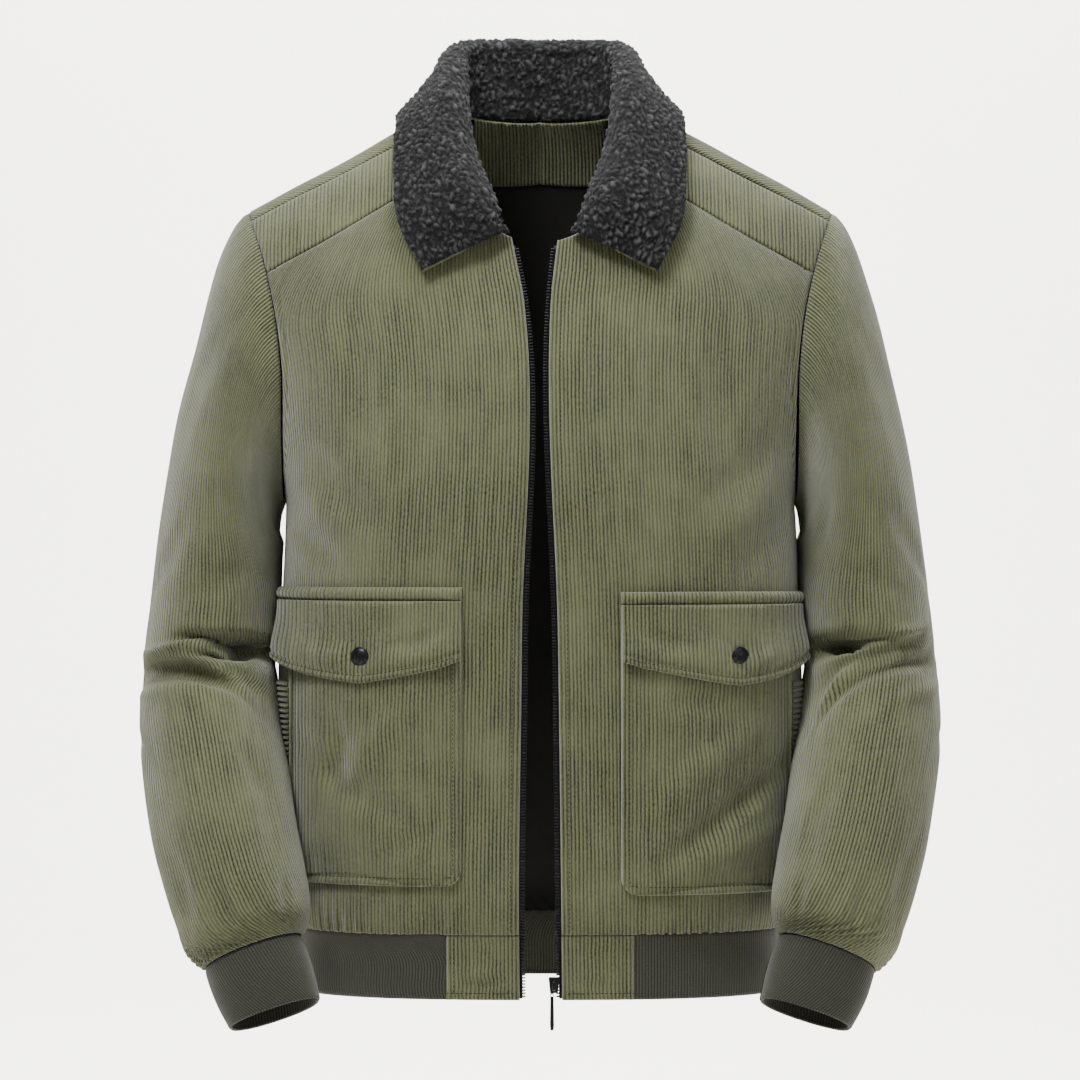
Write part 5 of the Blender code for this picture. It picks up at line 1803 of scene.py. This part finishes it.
        sewn.dress([self.finishes.get(Finish.CORDUROY)], 2.2, "corduroy", "folded",
                   [f"pocket_patch_{side.label}"])
        row = int(np.argmin(np.abs(up[:, 30] - self.flap_inset)))
        self.stitches.row(sewn.points[row, 2:-2], sewn.normals[row, 2:-2])

    def welt(self, plan: PocketPlan) -> None:
        """Round folded strip above the flap.

        Args:
            plan: the pocket's places.
        """
        side, rows = plan.side, 14
        heights = np.linspace(plan.flap_top - 0.6, plan.welt_top, rows)
        sewn = self.laid("pocket_welt", side, (plan.inner - 0.5, FLAP_OUTER), heights, 70)
        up = np.linspace(-1, 1, rows)[:, None]
        sewn.move(1.4 + 4.2 * np.sqrt(np.maximum(0.0, 1 - up ** 2)))
        sewn.turn_edges(1.5, 2.0, "se")
        sewn.dress([self.finishes.get(Finish.CORDUROY)], 1.2, "corduroy", "folded", [f"front_{side.label}"])

    def trim(self, side: Side) -> None:
        """Ribbed strip beside the pocket's side opening.

        Args:
            side: which side.
        """
        bottom = TRIM_TOP - TRIM_RIBS * TRIM_PITCH
        heights = np.linspace(bottom, TRIM_TOP, TRIM_RIBS * 10 + 1)
        sewn = self.laid("pocket_trim", side, TRIM_X, heights, 12)
        sewn.uv[..., 0] = run_lengths(sewn.points, 1) * MM
        rib = np.abs(np.sin((heights[:, None] - bottom) / TRIM_PITCH * math.pi)) ** 0.6
        sewn.move(1.6 + 1.9 * rib)
        sewn.turn_edges(1.2, 1.6, "se")
        sewn.dress([self.finishes.get(Finish.CORDUROY)], 1.0, "rib_knit", "stretched",
                   [f"pocket_patch_{side.label}"])

    def snap(self, plan: PocketPlan) -> None:
        """Domed cap with a rolled rim, spun from its outline.

        Args:
            plan: the pocket's places.
        """
        side = plan.side
        column = Torso.column_at(plan.tip[0] - 1, SNAP_HEIGHT, side)
        point, normal = self.fronts.surface(side, column, np.asarray(SNAP_HEIGHT))
        shape = bmesh.new()
        verts = [shape.verts.new((radius * MM, 0, up * MM)) for radius, up in self.CAP]
        edges = [shape.edges.new(pair) for pair in zip(verts, verts[1:])]
        bmesh.ops.spin(shape, geom=verts + edges, cent=(0, 0, 0), axis=(0, 0, 1),
                       angle=2 * math.pi, steps=40, use_merge=True)
        bmesh.ops.remove_doubles(shape, verts=shape.verts, dist=1e-6)
        bmesh.ops.recalc_face_normals(shape, faces=shape.faces)
        turn = Vector((0, 0, 1)).rotation_difference(Vector(normal)).to_matrix().to_4x4()
        spot = Vector(point + normal * 7.6) * MM
        bmesh.ops.transform(shape, matrix=Matrix.Translation(spot) @ turn, verts=shape.verts)
        name = f"pocket_snap_{side.label}"
        piece = finish_mesh(shape, name + "_cap", [self.finishes.get(Finish.METAL)])
        declare(piece, name)

    def build(self) -> None:
        """Build both pockets."""
        for plan in POCKETS:
            self.patch(plan)
            self.flap(plan)
            self.welt(plan)
            self.trim(plan.side)
            self.snap(plan)


@dataclass
class Collar:
    """Curly fleece collar, the under collar that backs its fall, and the neck facing."""

    finishes: Finishes
    across: int = 405
    along: int = 116
    curl_mm: float = 5.0
    curl_depth: float = 3.0
    seed: int = 5              # without one, noise_vector differs from run to run

    pile: float = 1.0          # how far the gaps between curls lie under the plain form
    under_depth: float = 5.2   # of the under collar, behind the fleece's plain form
    facing_from: float = 0.66  # where the facing's lower edge lies, as a share of the way up

    STAND_ROWS: ClassVar[int] = 8
    ROLL_ROWS: ClassVar[int] = 16

    @staticmethod
    def on_arc(corners: Array, share: Array) -> Array:
        """Points on circles through the roll's inner side, top and outer side.

        Args:
            corners: stations by 3 by 3, the circle's three points.
            share: 0 at the first point, 1 at the second, 2 at the third.

        Returns:
            Shares by stations by 3.
        """
        start, top, end = corners[:, 0], corners[:, 1], corners[:, 2]
        one, two = top - start, end - start
        axis = np.cross(one, two)
        size = (axis * axis).sum(-1, keepdims=True)
        centre = start + (np.cross(axis, one) * (two * two).sum(-1, keepdims=True)
                          + np.cross(two, axis) * (one * one).sum(-1, keepdims=True)) / (2 * size)
        unit = axis / np.sqrt(size)
        first, middle = start - centre, top - centre
        radius = np.linalg.norm(first, axis=-1)
        last = end - centre
        opening = np.arccos(np.clip((first * middle).sum(-1) / radius ** 2, -1, 1))
        closing = np.arccos(np.clip((middle * last).sum(-1) / radius ** 2, -1, 1))
        rows = []
        for value in share:
            base = first if value < 1 else middle
            turn = (value * opening if value < 1 else (value - 1) * closing)[:, None]
            rows.append(centre + base * np.cos(turn) + np.cross(unit, base) * np.sin(turn))
        return np.array(rows)

    def form(self) -> Array:
        """Shown face of the collar from its foot over the roll to its edge, rows by stations."""
        last = len(COLLAR) - 1
        stations = np.linspace(-last, last, 2 * last * STATIONS_BETWEEN + 1)
        table = tuple((index, *line) for index, line in enumerate(COLLAR))
        values = np.stack([smooth(table, np.abs(stations), column) for column in range(1, 16)], -1)
        mirror = stack(np.sign(stations) + (stations == 0), 1.0, 1.0)
        corners = values.reshape(-1, 5, 3) * mirror[:, None]
        stand = [mix(corners[:, 0], corners[:, 1], share)
                 for share in np.linspace(0, 1, self.STAND_ROWS + 1)[:-1]]
        roll = self.on_arc(corners[:, 1:4], np.linspace(0, 2, self.ROLL_ROWS + 1)[:-1])
        fall = [mix(corners[:, 3], corners[:, 4], share) for share in np.linspace(0, 1, 15)]
        return np.concatenate([stand, roll, fall])

    @staticmethod
    def even_rows(grid: Array, count: int) -> Array:
        """Grid of the same surface with other rows, evenly spaced.

        Args:
            grid: rows by columns by 3.
            count: number of the new rows.

        Returns:
            The new rows by the same columns by 3.
        """
        run = run_lengths(grid, 0).mean(axis=1)
        spots = np.linspace(0, run[-1], count)
        low = np.clip(np.searchsorted(run, spots, side="right") - 1, 0, len(run) - 2)
        share = ((spots - run[low]) / (run[low + 1] - run[low]))[:, None, None]
        before, after = np.maximum(low - 1, 0), np.minimum(low + 2, len(run) - 1)
        slopes = (grid[low + 1] - grid[before]) / 2, (grid[after] - grid[low]) / 2
        return cubic(share, (grid[low], grid[low + 1]), slopes)

    @classmethod
    def refine(cls, points: Array, rows: int, columns: int) -> Array:
        """Grid of the same surface with other counts, even in length both ways."""
        return cls.even_rows(cls.even_rows(points, rows).swapaxes(0, 1), columns).swapaxes(0, 1)

    def curls(self, points: Array) -> Array:
        """Height of the curls.

        Args:
            points: rows by columns by 3.

        Returns:
            0 in the gaps to 1 on the tops, rows by columns.
        """
        noise.seed_set(self.seed)
        flat = points.reshape(-1, 3)
        result = np.empty(len(flat))
        scale = 1 / self.curl_mm
        for index, spot in enumerate(flat):
            place = Vector(spot) * scale
            bent = place + noise.noise_vector(place * 0.9) * 0.75
            distances, _ = noise.voronoi(bent)
            gap = distances[1] - distances[0]
            fine = noise.noise(place * 3.4)
            result[index] = min(1.0, max(0.0, (gap * 1.7) ** 0.8 + 0.2 * fine))
        return result.reshape(points.shape[:2])

    def fleece(self, form: Array) -> None:
        """Pile side of the collar with its curls."""
        points = self.refine(form, self.along, self.across)
        sewn = Sewn("collar", points)
        curls = self.curls(points)
        sewn.move(self.curl_depth * curls - self.pile)
        sewn.turn_edges(2.0, 4.0, "flse")
        sewn.dress([self.finishes.get(Finish.FLEECE)], 2.4, "fleece", "folded",
                   ["back", "yoke_left", "yoke_right"], values=curls)

    def under(self, form: Array) -> None:
        """Corduroy under collar behind the fall."""
        fall = form[self.STAND_ROWS + self.ROLL_ROWS:]
        sewn = Sewn("under_collar", self.refine(fall, 20, 160))
        sewn.move(-self.under_depth)
        sewn.dress([self.finishes.get(Finish.CORDUROY)], 1.0, "corduroy", "folded", ["collar"])

    def facing(self) -> None:
        """Corduroy facing inside the back of the neck."""
        columns = np.linspace(-2, 2, 41)
        size, sign = np.abs(columns), np.where(columns < 0, -1.0, 1.0)
        bottom = Torso.middle_place(size, Face.BACK, 0.0)
        shares = np.linspace(self.facing_from, 1.0, 26)[:, None]
        points = Torso.between(bottom, Torso.ridge_place(size), shares, Face.BACK)
        sewn = Sewn("neck_facing", points * stack(sign, 1.0, 1.0))
        along = run_lengths(sewn.points, 1)
        top = run_lengths(sewn.points, 0)[-1:] - run_lengths(sewn.points, 0)
        sewn.move(3.0 + hem_gathers(along, top, 0.6, 1.0))
        sewn.dress([self.finishes.get(Finish.CORDUROY)], 1.0, "corduroy", "hung", ["back"])

    def build(self) -> None:
        """Build the collar's pieces."""
        form = self.form()
        self.fleece(form)
        self.under(form)
        self.facing()


@dataclass
class Zip:
    """Open front zip: tapes, teeth, the slider and its pull tab."""

    finishes: Finishes
    tooth_pitch: float = 2.4
    tooth_tall: float = 1.25
    tooth_thick: float = 2.0
    tooth_raised: float = 0.6  # middle of the teeth over the tape's face
    tape_hidden: float = 8.0   # width of the tape under the cloth
    gripped: float = 1.2       # width of the tape between the teeth
    chain_front: float = 1.6   # how far the chain stands out of the tape's face
    plate: float = 2.6         # thickness of the slider's plate and width of its crown

    @staticmethod
    def line(side: Side, x: Array, heights: Array, depth: float) -> tuple[Array, Array]:
        """Line under the cloth beside the opening.

        Args:
            side: which side.
            x: distance from the middle at each height, without its sign.
            heights: true heights.
            depth: millimetres under the outer face.

        Returns:
            Points and outward directions.
        """
        ridge = smooth(RIDGE, x, 1)
        rise = (heights - ARMPIT) / (ridge - ARMPIT)
        nominal = np.where(heights > ARMPIT, Torso.height_of(rise), heights)
        point = Torso.point(x, nominal, Face.FRONT)
        above = Torso.point(x, nominal + 1, Face.FRONT)
        aside = Torso.point(x + 1, nominal, Face.FRONT)
        normal = unit(np.cross(aside - point, above - point))
        mirror = (side.value, 1, 1)
        return (point - normal * depth) * mirror, normal * mirror

    def tape(self, side: Side) -> None:
        """Woven tape from the teeth to under the cloth.

        Args:
            side: which side.
        """
        heights = np.linspace(-700, -114, 150)
        by_teeth = Torso.zip_edge(heights, side) + CHAIN_WIDTH - self.gripped
        hidden = Torso.front_edge(heights, side) + self.tape_hidden
        points = np.stack([self.line(side, mix(by_teeth, hidden, share), heights, ZIP_DEPTH)[0]
                           for share in np.linspace(0, 1, 6)], axis=1)
        sewn = Sewn.of("zip_tape", side, points)
        sewn.dress([self.finishes.get(Finish.TAPE)], 0.8, "zip_tape", "stretched", [f"front_{side.label}"])

    def teeth(self, side: Side) -> None:
        """Row of moulded teeth, each a small bevelled block across the tape's edge.

        Args:
            side: which side.
        """
        heights = np.arange(-698.0, -115.0, self.tooth_pitch)
        middle = Torso.zip_edge(heights, side) + CHAIN_WIDTH / 2
        points, normals = self.line(side, middle, heights, ZIP_DEPTH - self.tooth_raised)
        ahead = np.gradient(points, axis=0)
        shape = bmesh.new()
        for spot, out, up in zip(points, normals, ahead):
            up = unit(up)
            across = np.cross(up, out)
            turn = Matrix([[*row] for row in np.stack([across, up, out], axis=1)]).to_4x4()
            size = Matrix.Diagonal((CHAIN_WIDTH * MM, self.tooth_tall * MM, self.tooth_thick * MM, 1.0))
            bmesh.ops.create_cube(shape, size=1.0,
                                  matrix=Matrix.Translation(Vector(spot) * MM) @ turn @ size)
        bmesh.ops.bevel(shape, geom=list(shape.edges), offset=0.28 * MM, segments=1, profile=0.5,
                        affect="EDGES", material=-1)
        name = f"zip_chain_{side.label}"
        piece = finish_mesh(shape, name + "_teeth", [self.finishes.get(Finish.METAL)])
        declare(piece, name)

    def slider(self) -> None:
        """Slider body with rounded shoulders and a crown."""
        x, z = SLIDER_AT
        chain = Torso.point(x, z, Face.FRONT)
        width, thick, tall = SLIDER_SIZE
        front = float(chain[1]) + ZIP_DEPTH - self.chain_front - SLIDER_GAP
        middle = front - thick / 2
        shape = bmesh.new()
        plate = bmesh.ops.create_cube(shape, size=1.0)["verts"]
        bmesh.ops.scale(shape, verts=plate, vec=(width * MM, self.plate * MM, tall * MM))
        low = [vert for vert in plate if vert.co.z < 0]
        bmesh.ops.scale(shape, verts=low, vec=(0.72, 1, 1))
        bmesh.ops.translate(shape, verts=plate, vec=(x * MM, (front - self.plate / 2) * MM, z * MM))
        crown = bmesh.ops.create_cube(shape, size=1.0)["verts"]
        bmesh.ops.scale(shape, verts=crown, vec=(self.plate * MM, self.plate * MM, 8.6 * MM))
        for vert in crown:
            if vert.co.y < 0:
                vert.co.z *= 0.62
        place = Vector((x, middle - self.plate / 2, z - 0.6)) * MM
        bmesh.ops.translate(shape, verts=crown, vec=place)
        bmesh.ops.bevel(shape, geom=list(shape.edges), offset=0.7 * MM, segments=3, profile=0.5,
                        affect="EDGES", material=-1)
        piece = finish_mesh(shape, "zip_slider_body", [self.finishes.get(Finish.METAL)])
        declare(piece, "zip_slider")

    def pull(self) -> None:
        """Long flat pull with a hole at its top, where it hangs on the crown."""
        low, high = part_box("zip_pull_tab")
        middle = (low + high) / 2
        width, thick, tall = TAB_SIZE
        shape = bmesh.new()
        plate = bmesh.ops.create_grid(shape, x_segments=4, y_segments=16, size=0.5)["verts"]
        bmesh.ops.scale(shape, verts=plate, vec=(width * MM, tall * MM, 1))
        for vert in plate:
            up = vert.co.y / (tall * MM) + 0.5
            vert.co.x *= 0.86 + 0.3 * (1 - up) - 0.35 * soft_step(0.06 - up, -0.06, 0.06)
        faces = [face for face in shape.faces if abs(face.calc_center_median().x) < 0.26 * width * MM
                 and 0.86 < face.calc_center_median().y / (tall * MM) + 0.5 < 0.95]
        bmesh.ops.delete(shape, geom=faces, context="FACES")
        bmesh.ops.solidify(shape, geom=list(shape.faces), thickness=thick * MM * 0.8)
        bmesh.ops.recalc_face_normals(shape, faces=shape.faces)
        sharp = [edge for edge in shape.edges
                 if len(edge.link_faces) == 2 and edge.calc_face_angle(0) > 0.9]
        bmesh.ops.bevel(shape, geom=sharp, offset=0.25 * MM, segments=2, profile=0.5,
                        affect="EDGES", material=-1)
        turn = Matrix.Rotation(math.pi / 2, 4, "X")
        bmesh.ops.transform(shape, matrix=Matrix.Translation(middle) @ turn, verts=shape.verts)
        piece = finish_mesh(shape, "zip_pull", [self.finishes.get(Finish.METAL)])
        declare(piece, "zip_pull_tab", "pull_tab")

    def build(self) -> None:
        """Build both sides, the slider and the pull."""
        for side in Side:
            self.tape(side)
            self.teeth(side)
        self.slider()
        self.pull()


# ---- camera, light and floor

@dataclass
class Studio:
    """Camera at the photograph's angle, soft light, and a plain pale floor that curves up behind."""

    distance: float = 3.5
    height: float = -0.344
    shown: float = 0.864
    floor: float = -1.3
    bend: tuple[float, float] = (5.5, 2.0)     # where the floor starts to curve, and its radius
    paper: str = "f4f2ec"
    grain: str = "f2f0ea"
    clouds_per_m: float = 3.0
    # name, place, size of the square, watts and what it faces; the last one lights the paper behind
    soft_boxes: tuple[tuple[str, Point, float, float, Point], ...] = (
        ("key", (-0.8, -1.25, 1.6), 0.7, 74.0, (0.0, 0.0, -0.35)),
        ("fill", (1.7, -2.4, 0.9), 2.2, 22.0, (0.0, 0.0, -0.35)),
        ("top", (0.3, -0.5, 1.9), 1.0, 46.0, (0.0, 0.0, -0.35)),
        ("paper", (0.0, 2.6, 4.2), 4.0, 2200.0, (0.0, 7.5, 0.3)),
    )

    def camera(self) -> None:
        """Level camera in front of the jacket."""
        data = bpy.data.cameras.new("camera")
        data.sensor_width = 36.0
        data.lens = 36.0 * self.distance / self.shown
        data.clip_end = 50.0
        made = bpy.data.objects.new("camera", data)
        made.location = (0.0, -self.distance, self.height)
        made.rotation_euler = (math.pi / 2, 0.0, 0.0)
        bpy.context.scene.collection.objects.link(made)
        bpy.context.scene.camera = made

    def light(self, name: str, place: Point, size: float, watts: float, aim_at: Point) -> None:
        """Square soft box.

        Args:
            name: its name.
            place: its middle.
            size: its edge.
            watts: its power.
            aim_at: what it faces.
        """
        data = bpy.data.lights.new(name, "AREA")
        data.size = size
        data.energy = watts
        made = bpy.data.objects.new(name, data)
        made.location = place
        aim = Vector(aim_at) - Vector(place)
        made.rotation_euler = aim.to_track_quat("-Z", "Y").to_euler()
        bpy.context.scene.collection.objects.link(made)

    def backdrop(self) -> None:
        """Floor with a wide curve up into a wall."""
        shape = bmesh.new()
        start, radius = self.bend
        outline = [(-7.0, 0.0), (start, 0.0)]
        outline += [(start + radius * math.sin(turn), radius - radius * math.cos(turn))
                    for turn in np.linspace(0.1, math.pi / 2, 16)]
        outline.append((start + radius, 9.0))
        verts = [shape.verts.new((-9.0, y, self.floor + z)) for y, z in outline]
        edges = [shape.edges.new(pair) for pair in zip(verts, verts[1:])]
        made = bmesh.ops.extrude_edge_only(shape, edges=edges)["geom"]
        moved = [item for item in made if isinstance(item, bmesh.types.BMVert)]
        bmesh.ops.translate(shape, verts=moved, vec=(18.0, 0, 0))
        bmesh.ops.recalc_face_normals(shape, faces=shape.faces)
        nodes = NodeTree("studio_paper", 0.9, Specular_IOR_Level=0.1)
        where = nodes.add("TexCoord").outputs["Object"]
        grain = nodes.add("TexNoise", None, {"Vector": where, "Scale": self.clouds_per_m})
        colour = nodes.add("Mix", {"data_type": "RGBA"}, {
            "Factor": grain, 6: linear(self.paper), 7: linear(self.grain)})
        piece = finish_mesh(shape, "floor", [nodes.finish(colour.outputs[2])])

    def world(self) -> None:
        """Even pale surroundings."""
        world = bpy.data.worlds.new("studio")
        world.use_nodes = True
        shader = world.node_tree.nodes["Background"]
        shader.inputs["Color"].default_value = linear("ffffff")
        shader.inputs["Strength"].default_value = 0.3
        bpy.context.scene.world = world

    def build(self) -> None:
        """Build lights, floor and surroundings."""
        self.world()
        for soft_box in self.soft_boxes:
            self.light(*soft_box)
        self.backdrop()


def main() -> None:
    """Load the frame and build the jacket's looks in order."""
    logging.basicConfig(level=logging.INFO, format="%(name)s: %(message)s")
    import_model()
    studio = Studio()
    studio.camera()
    finishes = Finishes()
    stitches = StitchBook()
    fronts = Fronts(finishes, stitches)
    fronts.build()
    Back(finishes).build()
    Sleeves(finishes).build()
    Hem(finishes, stitches).build()
    Pockets(finishes, stitches, fronts).build()
    Collar(finishes).build()
    Zip(finishes).build()
    stitches.finish(finishes)
    studio.build()


if __name__ == "__main__":
    main()
